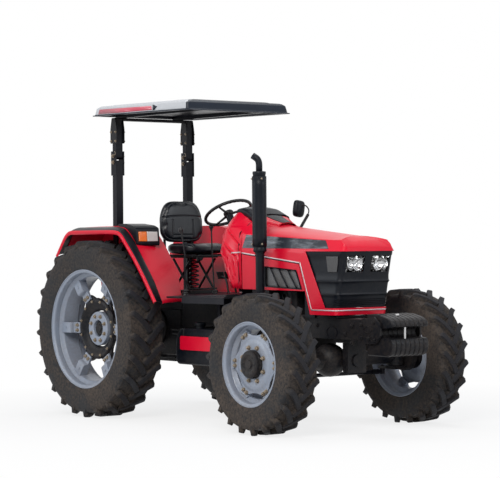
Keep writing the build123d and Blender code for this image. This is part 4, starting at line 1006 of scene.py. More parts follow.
trim_z = np.interp(trim_x, *np.array(rise_top).T) + 0.009 * (1 - trim_share / 0.8) + 0.0025
trim_y = trim_share * np.interp(trim_x, *np.array(rise_half).T)
trim_grid = np.stack([np.broadcast_to(trim_x + rear_axle_x, trim_z.shape), trim_y, trim_z], -1)
piece("hood_rear_trim", both_halves([(trim_grid, quads(12, 6))]), "hood", "plastic_black", plastic, weld=3e-4,
      smooth=32, wall=0.003)
# The same painted highlight of the crease, carried along the cowl's cheek.
cowl_line = np.stack([cowl_points[40:63, np.argmin(np.abs(up_z[50] - height))] + (0, 0.0012, 0)
                      for height in (1.388, 1.398)], 1)
piece("cowl_painted_highlight_line", both_halves([(cowl_line, quads(23, 2))]), "chassis", "red_paint", painted_highlight, wall=0.0008,
      grows=1.0)


# Steering wheel: a steel ring and three spokes moulded over in black plastic, with finger grooves, keyed on
# its tilted column under a round cap.
def tube(path, radius, sides=14, up=(0, 0, 1), ends=True):
    """A round tube: at each point of the path a circle square to it. radius is one number or its two
    ends'."""
    path = np.asarray(path, float)
    path = path[np.r_[True, np.linalg.norm(np.diff(path, axis=0), axis=1) > 1e-6]]
    way = np.gradient(path, axis=0)
    way /= np.linalg.norm(way, axis=1, keepdims=True)
    side_way = np.cross(way, np.asarray(up, float))
    side_way /= np.linalg.norm(side_way, axis=1, keepdims=True)
    over_way = np.cross(side_way, way)
    a = np.arange(sides)[None, :, None] * 2 * pi / sides
    r = np.linspace(*np.broadcast_to(radius, 2), len(path))[:, None, None]
    points = path[:, None] + r * (np.cos(a) * side_way[:, None] + np.sin(a) * over_way[:, None])
    return points, capped(len(path), sides) if ends else quads(len(path), sides, False, True)


grip = finish("grip_plastic", (0.009, 0.009, 0.011), 0.38, specular=0.25, soil=0.05, blotch=0.1,
              grain_scale=900.0, grain=0.2)
wheel_tilt, wheel_r, grip_r = radians(30), 0.201, 0.0138
wheel_middle = np.array([0.8 + rear_axle_x, 0, 1.728])
wheel_axes = np.array([(cos(wheel_tilt), 0, sin(wheel_tilt)), (0, 1, 0),
                       (-sin(wheel_tilt), 0, cos(wheel_tilt))])


def on_wheel(points):
    """Places local points (across, left, along the column) on the tilted wheel."""
    return wheel_middle + np.asarray(points, float) @ wheel_axes


around = np.arange(120) * 2 * pi / 120
section = np.arange(14) * 2 * pi / 14
notch = 0.0012 * np.cos(30 * around)[:, None] * np.clip(-np.sin(section), 0, 1)[None, :]
reach = wheel_r + (grip_r - notch) * np.cos(section)[None, :]
ring_points = np.stack([reach * np.cos(around)[:, None], reach * np.sin(around)[:, None],
                        (grip_r - notch) * np.sin(section)[None, :]], -1)
wheel_shells = [(on_wheel(ring_points.reshape(-1, 3)), quads(120, 14, True, True))]
for k in range(3):
    a = radians(60 + 120 * k)
    spoke = [(0.028, -0.014), (0.08, -0.012), (0.14, -0.006), (0.196, 0.0)]
    path = on_wheel([(r * cos(a), r * sin(a), h) for r, h in rounded(spoke, 0.03, 4, close=False)])
    wheel_shells.append(tube(path, (0.011, 0.008), 10, up=wheel_axes[2]))
wheel_shells.append(turned([(0, -0.026), (0.036, -0.026), (0.043, -0.014), (0.043, 0.002), (0.036, 0.011),
                            (0.018, 0.015), (0, 0.015)], wheel_middle, wheel_axes[2], 40))
piece("steering_wheel_rim", wheel_shells, "hand_wheel", "grip_plastic", grip, stands_for="steering_wheel")


# Seat: two foam pads under black vinyl on steel pans. The back has a raised border, a cross seam and a lower
# panel, and the cushion is sewn along its sides and across its middle.
vinyl = finish("seat_vinyl", (0.004, 0.006, 0.01), 0.3, specular=0.32, soil=0.05, blotch=0.2,
               grain_scale=420.0, grain=0.5)


def pad_form(name, middle, half, power, axis):
    """A closed pad: a superellipse outline of a power, its thickness falling to the edge by a root. axis
    is the pad's thin direction."""
    ring = np.arange(72) * 2 * pi / 72
    c, s = np.cos(ring), np.sin(ring)
    reach = (np.abs(c) ** power + np.abs(s) ** power) ** (-1 / power)
    share = np.sin(np.linspace(0.02, pi - 0.02, 25))
    depth = np.cos(np.linspace(0.02, pi - 0.02, 25))
    thick = np.sign(depth) * np.abs(depth) ** 0.55
    flat = np.maximum(share ** 0.5, 0.02)
    others = [k for k in range(3) if k != axis]
    points = np.zeros((25, 72, 3))
    points[..., others[0]] = flat[:, None] * (reach * c)[None, :] * half[others[0]]
    points[..., others[1]] = flat[:, None] * (reach * s)[None, :] * half[others[1]]
    points[..., axis] = thick[:, None] * half[axis]
    return shells_object(name, [(points + np.asarray(middle), capped(25, 72))], smooth=180)


def held_mesh(made):
    """The piece's mesh as its modifiers leave it, put back in its place with the modifiers gone."""
    bpy.context.view_layer.update()
    seen = made.evaluated_get(bpy.context.evaluated_depsgraph_get())
    made.data = bpy.data.meshes.new_from_object(seen)
    made.modifiers.clear()


def moved_to(made, spots):
    """Puts the piece's points in new places."""
    made.data.vertices.foreach_set("co", spots.astype(np.float32).ravel())
    made.data.update()


def stuffed(pad, voxel, cap):
    """Foam pressing on its cover: an even remesh, twenty frames of cloth under pressure with no gravity,
    and no point moved further than the cap."""
    remesh = pad.modifiers.new("even", "REMESH")
    remesh.mode, remesh.voxel_size = "VOXEL", voxel
    held_mesh(pad)
    rest = coordinates(pad)
    cloth = pad.modifiers.new("cover", "CLOTH")
    cloth.settings.use_pressure = True
    cloth.settings.uniform_pressure_force = 4.0
    cloth.settings.effector_weights.gravity = 0.0
    for number in range(1, 21):
        bpy.context.scene.frame_set(number)
    held_mesh(pad)
    bpy.context.scene.frame_set(1)
    moved = coordinates(pad) - rest
    far = np.linalg.norm(moved, axis=1, keepdims=True)
    moved_to(pad, rest + moved * np.minimum(1, cap / np.maximum(far, 1e-9)))
    pad.data.shade_smooth()
    finer = pad.modifiers.new("finer", "SUBSURF")
    finer.levels = finer.render_levels = 1
    held_mesh(pad)


def sewn(pad, seams, axis, deep=0.006, wide=0.006):
    """Draws seams into a pad's front: points sink by a bell curve of their distance to each seam line."""
    spots = coordinates(pad)
    facing = np.zeros(spots.size)
    pad.data.vertices.foreach_get("normal", facing)
    facing = np.clip(facing.reshape(-1, 3)[:, axis], 0, 1)
    for line in seams:
        spots[:, axis] -= facing * deep * np.exp(-(line(spots) / wide) ** 2)
    moved_to(pad, spots)


def upholstered(pad, node):
    """Covers a finished pad in vinyl, in the place of its CAD node."""
    finish_piece(pad, "chassis", "seat_vinyl", vinyl)
    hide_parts(node)


def middle_and_half(node, less=0.0):
    """The centre and the half sizes of a CAD node's box."""
    low, high = np.array(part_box(node))
    return (low + high) / 2, (high - low) / 2 - less


back_low, back_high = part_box("seat_back")
back_middle, back_half = middle_and_half("seat_back", 0.004)
seat_back = pad_form("seat_back_pad", back_middle + (0.01, 0, 0), back_half, 5.0, 0)
spots = coordinates(seat_back)
up_share = (spots[:, 2] - back_low.z) / (back_high.z - back_low.z)
spots[:, 1] *= (1 - 0.26 * np.clip((up_share - 0.5) / 0.5, 0, 1) ** 1.6
                - 0.12 * np.clip((0.25 - up_share) / 0.25, 0, 1))
spots[:, 1] += 0.008
spots[:, 0] -= 0.02 * (up_share - 0.5)
moved_to(seat_back, spots)
stuffed(seat_back, 0.006, 0.008)
cross_z, panel_half, border, panel_foot_z = 1.7, 0.105, 0.195, 1.545
sewn(seat_back, [lambda p: p[:, 2] - cross_z - 0.012 * np.cos(p[:, 1] / border * pi / 2),
                 lambda p: np.where(p[:, 2] < cross_z - 0.02,
                                    np.abs(p[:, 1]) - panel_half - 0.1 * (cross_z - p[:, 2]) * 0.4, 1.0),
                 lambda p: np.where((np.abs(p[:, 1]) < panel_half) & (p[:, 2] < cross_z),
                                    p[:, 2] - panel_foot_z, 1.0),
                 lambda p: 0.18 * (
                     (np.abs(p[:, 1] - 0.008) / (0.205 - 0.06 * np.clip((p[:, 2] - 1.68) / 0.16, 0, 1))) ** 4
                     + (np.abs(p[:, 2] - 1.665) / 0.16) ** 4) ** 0.25 - 0.18], 0)
upholstered(seat_back, "seat_back")
pad_low, pad_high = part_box("seat_cushion")
pad_middle, pad_half = middle_and_half("seat_cushion", 0.004)
cushion = pad_form("seat_cushion_pad", pad_middle, pad_half, 3.6, 2)
spots = coordinates(cushion)
edge_share = np.abs(spots[:, 1]) / pad_half[1]
spots[:, 2] += np.where(spots[:, 2] > pad_middle[2], 0.012 * edge_share ** 3 - 0.006 * (1 - edge_share), 0)
moved_to(cushion, spots)
stuffed(cushion, 0.006, 0.007)
side_seam, cross_seam = 0.145, 0.07
sewn(cushion, [lambda p: np.abs(p[:, 1]) - side_seam,
               lambda p: np.where(np.abs(p[:, 1]) < side_seam, np.abs(p[:, 0] - pad_middle[0]) - cross_seam,
                                  1.0)], 2)
upholstered(cushion, "seat_cushion")


# Seat stand: two pressed plates held apart by scissor arms, with a coil spring between them and a weight knob
# in front. It is bolted to the deck, and bent rods carry the cushion and the back.
stand_low, stand_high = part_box("seat_base")
foot_z, top_z = (stand_low.z + 0.001, stand_low.z + 0.028), (stand_high.z - 0.034, stand_high.z - 0.006)


def flat_box(x0, x1, y0, y1, z0, z1, round_by=0.015):
    """A plate with rounded upright corners between two heights."""
    return prism(rounded([(x0, y0), (x1, y0), (x1, y1), (x0, y1)], round_by, 4), z0, z1, np.asarray)


def bent(path, bend, radius, sides=10, steps=6, up=(0, 1, 0), **more):
    """A round rod or pipe whose path is rounded at its corners."""
    return tube(rounded(path, bend, steps, close=False), radius, sides, up, **more)


def from_axle(points):
    """Moves points whose x counts from the rear axle into the machine's frame."""
    return np.asarray(points, float) + (rear_axle_x, 0, 0)


stand = [flat_box(stand_low.x, stand_high.x, -0.149, 0.149, *heights) for heights in (foot_z, top_z)]
for y in (-0.128, 0.128):
    for x0, x1, aside in ((stand_low.x + 0.03, stand_high.x - 0.03, 0.006),
                          (stand_high.x - 0.03, stand_low.x + 0.03, -0.006)):
        stand.append(tube([(x0, y + aside, foot_z[1] + 0.008), ((x0 + x1) / 2, y + aside, 1.205),
                           (x1, y + aside, top_z[0] - 0.008)], 0.011, 10, up=(0, 1, 0)))
stand.append(tube([(stand_high.x - 0.02, y, foot_z[1] + 0.012) for y in (-0.146, 0.146)], 0.008, 10))
piece("seat_stand", stand, "chassis", "black_paint", cast, bevel=(0.002, 2, 50), stands_for="seat_base")
wind = np.linspace(0, 1, 130)
coil_r, coil_turns = 0.038, 7
spring_path = np.stack([(stand_low.x + stand_high.x) / 2 + coil_r * np.cos(wind * coil_turns * 2 * pi),
                        coil_r * np.sin(wind * coil_turns * 2 * pi), 1.072 + 0.27 * wind], 1)
piece("seat_spring", [tube(spring_path, 0.006, 8)], "chassis", "bare_steel", cast, smooth=50)
knob = [(0, -0.01), (0.018, -0.01), (0.03, 0.002), (0.032, 0.024), (0.026, 0.032), (0, 0.034)]
piece("seat_weight_knob", [turned(knob, (stand_high.x - 0.004, -0.06, 1.352), (1, 0, 0), 24)], "chassis",
      "plastic_black", plastic)
rails = [bent([(pad_high.x - 0.03, -0.2, 1.362), (pad_high.x + 0.012, -0.2, 1.362),
               (pad_high.x + 0.012, 0.2, 1.362), (pad_high.x - 0.03, 0.2, 1.362)], 0.03, 0.007, steps=5,
              up=(0, 0, 1))]
for y in (-1, 1):
    rails += [tube([(pad_low.x - 0.01, 0.155 * y, 1.366), (pad_high.x - 0.02, 0.155 * y, 1.366)], 0.011, 10,
                   (0, 1, 0)),
              bent([(pad_low.x + 0.02, 0.15 * y, 1.366), (back_low.x + 0.028, 0.15 * y, 1.372),
                    (back_low.x + 0.02, 0.15 * y, 1.56)], 0.05, 0.012)]
piece("seat_rails", rails, "chassis", "black_paint", cast)


# Levers and pedals: bent steel rods with moulded knobs and rubber boots, beside the right fender, on the
# tunnel and on the left, and three ribbed pads on their arms.
lever_shells, knob_shells = [], []
knob = [(0, -0.014), (0.009, -0.014), (0.011, 0.0), (0.019, 0.014), (0.021, 0.028), (0.015, 0.041),
        (0, 0.046)]
boot = [(0.03, 0.0), (0.024, 0.012), (0.026, 0.018), (0.018, 0.028), (0.02, 0.034), (0.01, 0.05),
        (0.007, 0.052)]
for path in ([(0.786, -0.452, 1.03), (0.786, -0.45, 1.18), (0.789, -0.45, 1.375), (0.741, -0.45, 1.562)],
             [(0.64, -0.03, 1.02), (0.6, -0.02, 1.3), (0.56, 0.0, 1.59)],
             [(0.605, 0.3, 1.038), (0.6, 0.3, 1.25), (0.56, 0.306, 1.43)]):
    path = from_axle(path)
    lever_shells.append(bent(path, 0.05, 0.0068))
    knob_shells += [turned(knob, path[-1], path[-1] - path[-2], 20),
                    turned(boot, path[0] + (0, 0, 0.01), (0, 0, 1), 20)]
piece("lever_rods", lever_shells, "chassis", "black_paint", cast, stands_for="control_levers")
piece("lever_knobs", knob_shells, "chassis", "plastic_black", grip)
pedal_shells = []
for foot in from_axle([(1.02, -0.255, 1.205), (1.02, -0.175, 1.205), (1.01, 0.235, 1.205)]):
    pedal_shells.append(bent(foot + [(0.012, 0, -0.01), (0.075, 0, -0.02), (0.105, 0, -0.15)], 0.05, 0.009))
    for rib in np.linspace(-0.026, 0.026, 6):
        pedal_shells.append(tube(foot + [(rib * 0.42, y, -rib * 0.9) for y in (-0.034, 0.034)], 0.0055, 8))
piece("foot_pedals", pedal_shells, "chassis", "black_paint", cast)


# Fenders: each a pressed red top that rounds down to the footboard in front of the tyre, a black moulded
# flare outside it, a rolled red lip round the flare's edge, and a red inner wall down to the deck.
inner_line = [(-0.6, 1.4), (-0.455, 1.598), (-0.38, 1.631), (0.2, 1.631), (0.33, 1.562), (0.452, 1.436),
              (0.556, 1.305), (0.632, 1.165), (0.668, 0.985)]
panel_line = [(-0.6, 1.39), (-0.455, 1.585), (-0.385, 1.617), (0.3, 1.617), (0.392, 1.565), (0.486, 1.478),
              (0.622, 1.318), (0.745, 1.172), (0.868, 0.985)]
flare_line = [(-0.6, 1.372), (-0.46, 1.545), (-0.392, 1.584), (0.335, 1.584), (0.402, 1.553), (0.478, 1.478),
              (0.605, 1.348), (0.74, 1.192), (0.89, 1.0)]
red_in, red_out, flare_out_y = 0.3955, 0.738, 0.822
line_radius = (0.0, 0.06, 0.05, 0.16, 0.06, 0.06, 0.06, 0.06, 0.0)
inner_run, panel_run, flare_run = (rounded(line, line_radius, 6, close=False)
                                   for line in (inner_line, panel_line, flare_line))


def fender_sheet(runs, places, drop):
    """A sheet over rows at places across the machine: runs goes from the inner line, 0, over the panel's,
    1, to the flare's, 2, and drop lowers each row."""
    rows = []
    for y, share, low in zip(places, runs, drop):
        near, far, share = (inner_run, panel_run, share) if share <= 1 else (panel_run, flare_run, share - 1)
        line = (1 - share) * near + share * far
        rows.append(from_axle(np.stack([line[:, 0], np.full(len(line), y), line[:, 1] - low], 1)))
    return np.stack(rows), quads(len(rows), len(inner_run))


shares = np.linspace(0, 1, 9)
tops = fender_sheet(shares, red_in + (red_out - red_in) * shares, 0.004 * (1 - np.sin(pi * shares)) ** 3)
wall_top = tops[0][0]
deck_z, wall_rear_x, wall_front_x = 1.0408, -0.52, 1.0
wall_foot = wall_top.copy()
wall_foot[:, 0] = np.clip(wall_foot[:, 0], wall_rear_x + rear_axle_x, wall_front_x)
wall_foot[:, 2] = np.minimum(wall_foot[:, 2] - 0.0005, deck_z)
walls = np.stack([wall_foot * (1 - s) + wall_top * s for s in np.linspace(0, 1, 6)]), quads(6, len(inner_run))
piece("fender_skins", both_halves([tops, walls]), "chassis", "red_paint", red, weld=3e-4, wall=0.004,
      bevel=(0.004, 3, 50), stands_for="fenders")
flare_share = np.linspace(1, 2, 7)
swell = np.sin(pi * (flare_share - 1))
flares = fender_sheet(flare_share, red_out + 0.001 + (flare_out_y - red_out) * (flare_share - 1),
                      -0.006 * swell)
piece("fender_flare_skins", both_halves([flares]), "chassis", "plastic_black", plastic, weld=3e-4, wall=0.004,
      stands_for="fender_flares")
lip_ring = [(-0.001, 0.003), (0.006, 0.005), (0.012, 0.0), (0.0135, -0.01), (0.0125, -0.026), (0.008, -0.03),
            (0.006, -0.026), (0.007, -0.01), (0.002, -0.004), (-0.001, -0.003)]
lip_run = flare_run[5:-5]
flare_way = np.gradient(lip_run, axis=0)
flare_way /= np.linalg.norm(flare_way, axis=1, keepdims=True)
flare_up = np.stack([-flare_way[:, 1], flare_way[:, 0]], 1)
lips = np.stack([from_axle(np.stack([lip_run[:, 0] + flare_up[:, 0] * h,
                                     np.full(len(lip_run), flare_out_y + s),
                                     lip_run[:, 1] + flare_up[:, 1] * h], 1)) for s, h in lip_ring], 1)
piece("fender_lips", both_halves([(lips, capped(*lips.shape[:2]))]), "chassis", "red_paint", red, smooth=50)


# Footboard mats: moulded black mats with raised bars, laid over the deck plates, and steel plates that close
# the deck in front of the fenders.
def mat(x0, x1, y0, y1, z, thick=0.0035, pitch=0.028):
    """A mat with bars across it: a sheet whose height steps up over every bar, with its edges turned down."""
    rows = int((x1 - x0) / pitch) * 4 + 1
    turn_down = -0.011
    along = x0 + 0.012 + (x1 - x0 - 0.024) * np.linspace(0, 1, rows)
    x = np.concatenate([[x0, x0 + 0.004], along, [x1 - 0.004, x1]])
    height = np.concatenate([[turn_down, 0], np.where(np.arange(rows) % 4 < 2, 0.0, thick),
                             [0, turn_down]])[:, None]
    y = np.array([y0, y0 + 0.004, y0 + 0.012, y0 + 0.016, y1 - 0.016, y1 - 0.012, y1 - 0.004, y1])
    kind = np.array([0, 1, 1, 2, 2, 1, 1, 0])
    height = np.where(kind == 0, turn_down, np.where(kind == 1, np.minimum(height, 0), height))
    grid = np.stack([*np.broadcast_arrays(x[:, None], y[None], z + height)], -1)
    return from_axle(grid), quads(len(x), len(y))


piece("footboard_mats", both_halves([mat(1.062, 1.632, 0.255, 0.64, 1.0425)]), "chassis", "plastic_black",
      plastic, smooth=30, wall=0.003)
filler = np.array([(0.678, 0.392), (1.0625, 0.392), (1.0625, 0.7), (0.866, 0.7)])
piece("footboard_fillers", both_halves([prism(filler, 1.024, 1.0385, from_axle)]), "chassis", "black_paint",
      cast, smooth=35, bevel=(0.002, 2, 50))


# Fender lamps: a black moulded housing screwed on each fender's shoulder, with an amber and a clear lens
# facing forwards.
amber = finish("amber_lens", (0.75, 0.16, 0.01), 0.16, coat=0.8, soil=0.05, blotch=0.2, grain_scale=300.0,
               grain=0.4)
clear = finish("clear_lens", (0.55, 0.54, 0.53), 0.14, coat=0.8, soil=0.08, blotch=0.5, grain_scale=220.0,
               grain=0.6)
lamp_outline = [(0.12, 1.63), (0.17, 1.641), (0.3, 1.642), (0.43, 1.625), (0.488, 1.602), (0.5015, 1.47),
                (0.488, 1.452), (0.4, 1.5), (0.3, 1.585), (0.2, 1.615)]


def along_y(points):
    """Turns (x from the rear axle, z, y) into the machine's frame."""
    return from_axle(np.asarray(points, float)[..., [0, 2, 1]])


def narrowed(points):
    """Draws the housing in towards its rear end."""
    points = along_y(points)
    share = np.clip((points[:, 0] - rear_axle_x - 0.12) / 0.3, 0, 1)
    points[:, 1] = 0.6 + (points[:, 1] - 0.6) * (0.55 + 0.45 * share)
    return points


lens_face = [(0.48, 1.574), (0.499, 1.573), (0.508, 1.492), (0.486, 1.49)]
for name, shell, look, slot, node in (
        ("housings", prism(rounded(lamp_outline, 0.012, 4), 0.5, 0.735, narrowed), plastic, "plastic_black",
         "fender_lamps"),
        ("amber", prism(lens_face, 0.632, 0.714, along_y), amber, "fender_lens", None),
        ("clear", prism(lens_face, 0.522, 0.628, along_y), clear, "lamp_lens", None)):
    piece(f"fender_lamp_{name}", both_halves([shell]), "chassis", slot, look, bevel=(0.005, 3, 40),
          stands_for=node)


# Canopy: a moulded double-skinned roof, white outside with a dark front, edge lip and lining, bolted to its
# rails, with a red panel and a dark slash let into each side.
roof_low, roof_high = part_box("canopy")
roof_middle, roof_half = middle_and_half("canopy")
white = finish("canopy_white", (0.47, 0.485, 0.51), 0.42, specular=0.2, soil=0.1, soil_height=9.0, blotch=0.1,
               grain_scale=500.0, grain=0.1)
roof_dark = finish("canopy_dark", (0.007, 0.012, 0.022), 0.34, specular=0.18, soil=0.05, blotch=0.2,
                   grain_scale=500.0, grain=0.2)
pink = finish("canopy_red_panel", (0.5, 0.06, 0.1), 0.32, coat=0.3, soil=0.15, soil_height=9.0, blotch=0.25,
              grain_scale=300.0, grain=0.2)


def rounded_box_ring(inset, corner, z, count=12):
    """A ring at height z: a rectangle inset from the roof's edge, each corner a quarter circle."""
    a = np.linspace(0, pi / 2, count)[None] + np.arange(4)[:, None] * pi / 2
    middles = np.array([(1, 1), (-1, 1), (-1, -1), (1, -1)]) * (roof_half[:2] - inset - corner)
    ring = middles[:, None] + corner * np.stack([np.cos(a), np.sin(a)], -1) + roof_middle[:2]
    return np.concatenate([ring.reshape(-1, 2), np.full((4 * count, 1), z)], 1)


z0, roof_tilt = roof_low.z, 0.018
roof_rings = [(0.055, 0.04, 0.026), (0.045, 0.04, 0.002), (0.03, 0.04, 0.001), (0.001, 0.035, 0.001),
              (0.001, 0.035, 0.007), (0.013, 0.035, 0.01), (0.017, 0.035, 0.014), (0.028, 0.035, 0.066),
              (0.032, 0.036, 0.071), (0.048, 0.04, 0.084), (0.054, 0.045, 0.087), (0.07, 0.05, 0.089),
              (0.12, 0.06, 0.0925), (0.124, 0.06, 0.0965), (0.136, 0.06, 0.099), (0.25, 0.07, 0.102),
              (0.4, 0.06, 0.1042), (0.53, 0.02, 0.1046)]


def roof_drop(points):
    """How far the tilt lowers each place, in a straight slope from the roof's rear edge to its front."""
    return roof_tilt * (points[..., 0] - roof_low.x) / (roof_high.x - roof_low.x)


def tilted(points):
    """Lowers the roof's front."""
    points = np.array(points, float)
    points[..., 2] -= roof_drop(points)
    return points


rings = tilted(np.stack([rounded_box_ring(inset, corner, z0 + z) for inset, corner, z in roof_rings]))
roof = piece("canopy_shell", [(rings, capped(*rings.shape[:2]))], "rops_top", "canopy_plastic", white,
             roof_dark, smooth=28, stands_for="canopy")
centres, facing = np.zeros((2, len(roof.data.polygons) * 3))
roof.data.polygons.foreach_get("center", centres)
roof.data.polygons.foreach_get("normal", facing)
centres, facing = centres.reshape(-1, 3), facing.reshape(-1, 3)
level = centres[:, 2] + roof_drop(centres) - z0
dark = (level < 0.0125) | (facing[:, 2] < -0.3) | (facing[:, 0] > 0.35) | (facing[:, 0] < -0.75)
dark |= (level > 0.086) & (centres[:, 0] > roof_high.x - 0.135)
roof.data.polygons.foreach_set("material_index", dark.astype(np.int32))


def roof_side(corners, out):
    """A flat patch on the roof's sloping side: (x, share of the height) corners from the rear axle."""
    points = [(x + rear_axle_x, roof_half[1] - 0.0172 - 0.0108 * share + out, z0 + 0.015 + 0.051 * share)
              for x, share in corners]
    return tilted(np.array(points)[[0, 1, 3, 2]].reshape(2, 2, 3)), quads(2, 2)


for name, look, corners in (
        ("panels", pink, [(-0.35, 0.04), (0.462, 0.12), (0.44, 0.8), (-0.34, 0.86)]),
        ("slashes", roof_dark, [(0.472, 0.05), (0.5, 0.05), (0.53, 0.62), (0.462, 1.0)])):
    piece(f"canopy_side_{name}", both_halves([roof_side(corners, 0.0012)]), "rops_top", "canopy_plastic",
          look, wall=0.0012, grows=1.0)


# Folding frame: zinc-plated pins, clips and clamp bolts at the two knuckles, steel bracket plates bolted to
# the post tops, and a pressed channel across them under the roof.
pin_shells, frame_bolts, plate_shells = [], [], []
post_x, post_y, fold_z = -0.29 + rear_axle_x, 0.381, 2.241
plate_side = rounded([(-0.338, 2.352), (-0.242, 2.352), (-0.242, 2.474), (-0.262, 2.576), (-0.318, 2.576),
                      (-0.338, 2.474)], 0.008, 3)
for y in (-post_y, post_y):
    for z in (fold_z, fold_z - 0.055):
        pin_shells.append(tube([(post_x, y - 0.066, z), (post_x, y + 0.066, z)], 0.0095, 12))
        for sign in (-1, 1):
            frame_bolts += bolt((post_x, y + sign * 0.048, z), (0, sign, 0), 0.024)
    for sign in (-1, 1):
        plate_shells.append(prism(plate_side, *sorted((y + sign * 0.0355, y + sign * 0.0435)), along_y))
        for x, z in ((-0.034, 2.372), (0.034, 2.372), (-0.034, 2.452), (0.034, 2.452)):
            frame_bolts += bolt((post_x + x, y + sign * 0.0435, z), (0, sign, 0), 0.015)
    pin_shells.append(bent([(post_x + 0.032, y - 0.058, fold_z + 0.012),
                            (post_x + 0.052, y - 0.062, fold_z + 0.006),
                            (post_x + 0.06, y - 0.064, fold_z + 0.03),
                            (post_x + 0.04, y - 0.062, fold_z + 0.04)], 0.01, 0.0025, 8, 5, (0, 0, 1)))
channel = [prism(rounded([(-0.318, 2.551), (-0.262, 2.551), (-0.262, 2.577), (-0.318, 2.577)], 0.006, 4),
                 -0.412, 0.412, along_y)]
channel += [flat_box(post_x - 0.029, post_x + 0.029, y - 0.034, y + 0.034, 2.5, 2.56) for y in (-post_y,
        post_y)]
piece("fold_pins", pin_shells, "rops_top", "bare_steel", zinc)
piece("roof_bracket_plates", plate_shells, "rops_top", "black_paint", cast, smooth=35, bevel=(0.0015, 2, 40))
piece("roof_cross_channel", channel, "rops_top", "black_paint", cast, stands_for="rops_crossbar")
piece("frame_bolts", frame_bolts, "rops_top", "bare_steel", zinc, smooth=35)


# Exhaust: a black steel pipe up from the manifold into a long silencer, with a bolted heat shield round its
# outer side and a turned tail.
soot = finish("exhaust_black", (0.003, 0.005, 0.009), 0.38, specular=0.14, soil=0.06, soil_height=2.0,
              blotch=0.4, grain_scale=500.0, grain=0.4)
stack_x, stack_y = 1.765 + rear_axle_x, -0.43
stack = (stack_x, stack_y, 0)
silencer = [(0, 1.395), (0.036, 1.395), (0.05, 1.4), (0.0535, 1.408), (0.0535, 1.42), (0.051, 1.426),
            (0.051, 2.014), (0.0535, 2.02), (0.0535, 2.032), (0.05, 2.039), (0.03, 2.041), (0, 2.041)]
exhaust_shells = [bent([(stack_x, -0.206, 1.03), (stack_x, stack_y, 1.03), (stack_x, stack_y, 1.402)], 0.07,
                       0.035, 24, 9, (1, 0, 0)), turned(silencer, stack, (0, 0, 1), 48)]
for z in (1.372, 1.392):
    clamp = [(0.034, z - 0.006), (0.04, z - 0.006), (0.04, z + 0.006), (0.034, z + 0.006)]
    exhaust_shells.append(turned(clamp, stack, (0, 0, 1), 32))
piece("exhaust_pipe", exhaust_shells, "chassis", "black_paint", soot, smooth=35, stands_for="exhaust_stack")
tail = [(stack_x, stack_y, 2.03), (stack_x, stack_y, 2.13), (stack_x - 0.04, stack_y - 0.034, 2.166)]
piece("exhaust_tail", [bent(tail, 0.06, 0.0265, 24, 9, ends=False)], "chassis", "black_paint", soot,
      smooth=50, wall=0.0025)
shield_a, shield_z = np.radians(np.linspace(-150, 40, 33))[None], np.linspace(1.44, 2.0, 9)[:, None]
shield = np.broadcast_arrays(stack_x + 0.0585 * np.cos(shield_a), stack_y + 0.0585 * np.sin(shield_a),
                             shield_z)
piece("exhaust_shield", [(np.stack(shield, -1), quads(9, 33))], "chassis", "black_paint", soot, wall=0.0018)
shield_bolts = []
for a in np.radians((-20, -125)):
    for z in (1.462, 1.98):
        shield_bolts += bolt((stack_x + 0.0588 * cos(a), stack_y + 0.0588 * sin(a), z), (cos(a), sin(a), 0),
                             0.011)
piece("exhaust_shield_bolts", shield_bolts, "chassis", "bare_steel", zinc, smooth=35)


# Mirror: a black moulded head with a flat glass, on a bent wire that is clamped in a stout arm bolted to the
# cowl's left cheek.
glass_look = finish("mirror_glass", (0.75, 0.78, 0.8), 0.04, metallic=1.0, soil=0.05, blotch=0.1)
mirror_middle, mirror_lean = np.array([1.215 + rear_axle_x, 0.434, 1.756]), radians(9)


def on_mirror(rings):
    """Rings of the head's outline, each (share of its size, distance forwards), in place: the head leans
    out at the top by an angle."""
    local = np.stack([np.concatenate([oval * share, np.full((len(oval), 1), h)], 1) for share, h in rings])
    y = local[..., 0] * cos(mirror_lean) + local[..., 1] * sin(mirror_lean)
    z = -local[..., 0] * sin(mirror_lean) + local[..., 1] * cos(mirror_lean)
    return np.stack([local[..., 2], y, z], -1) + mirror_middle


a = np.arange(40)[:, None] * 2 * pi / 40
oval = np.concatenate([0.056 * np.cos(a), 0.071 * np.sin(a)], 1) * (np.cos(a) ** 4 + np.sin(a) ** 4) ** -0.25
head = on_mirror([(0.02, -0.01), (0.9, -0.01), (0.93, -0.014), (1.0, -0.014), (1.0, -0.004), (0.97, 0.006),
                  (0.86, 0.016), (0.62, 0.024), (0.3, 0.027), (0.02, 0.028)])
piece("mirror_head", [(head, capped(10, 40))], "chassis", "plastic_black", plastic)
face = on_mirror([(0.02, -0.0112), (0.5, -0.0112), (0.89, -0.0112)])
piece("mirror_glass_face", [(face, quads(3, 40, False, True)[:, ::-1])], "chassis", "lamp_lens", glass_look,
      wall=0.001)
arm_foot, arm_bend, arm_top, *wire = from_axle([(1.3, 0.318, 1.47), (1.3, 0.352, 1.56), (1.3, 0.462, 1.706),
                                                (1.3, 0.474, 1.745), (1.27, 0.462, 1.786),
                                                (1.228, 0.438, 1.78)])
foot_plate = rounded([(1.27, 1.445), (1.33, 1.445), (1.33, 1.5), (1.27, 1.5)], 0.008, 4)
piece("mirror_arm", [bent([arm_foot, arm_bend, arm_top], 0.05, 0.0125, 14, 7, (1, 0, 0)),
                     bent([arm_top, *wire], 0.03, 0.0055, 10, 7), prism(foot_plate, 0.3185, 0.336, along_y)],
      "chassis", "black_paint", cast, stands_for="mirror")


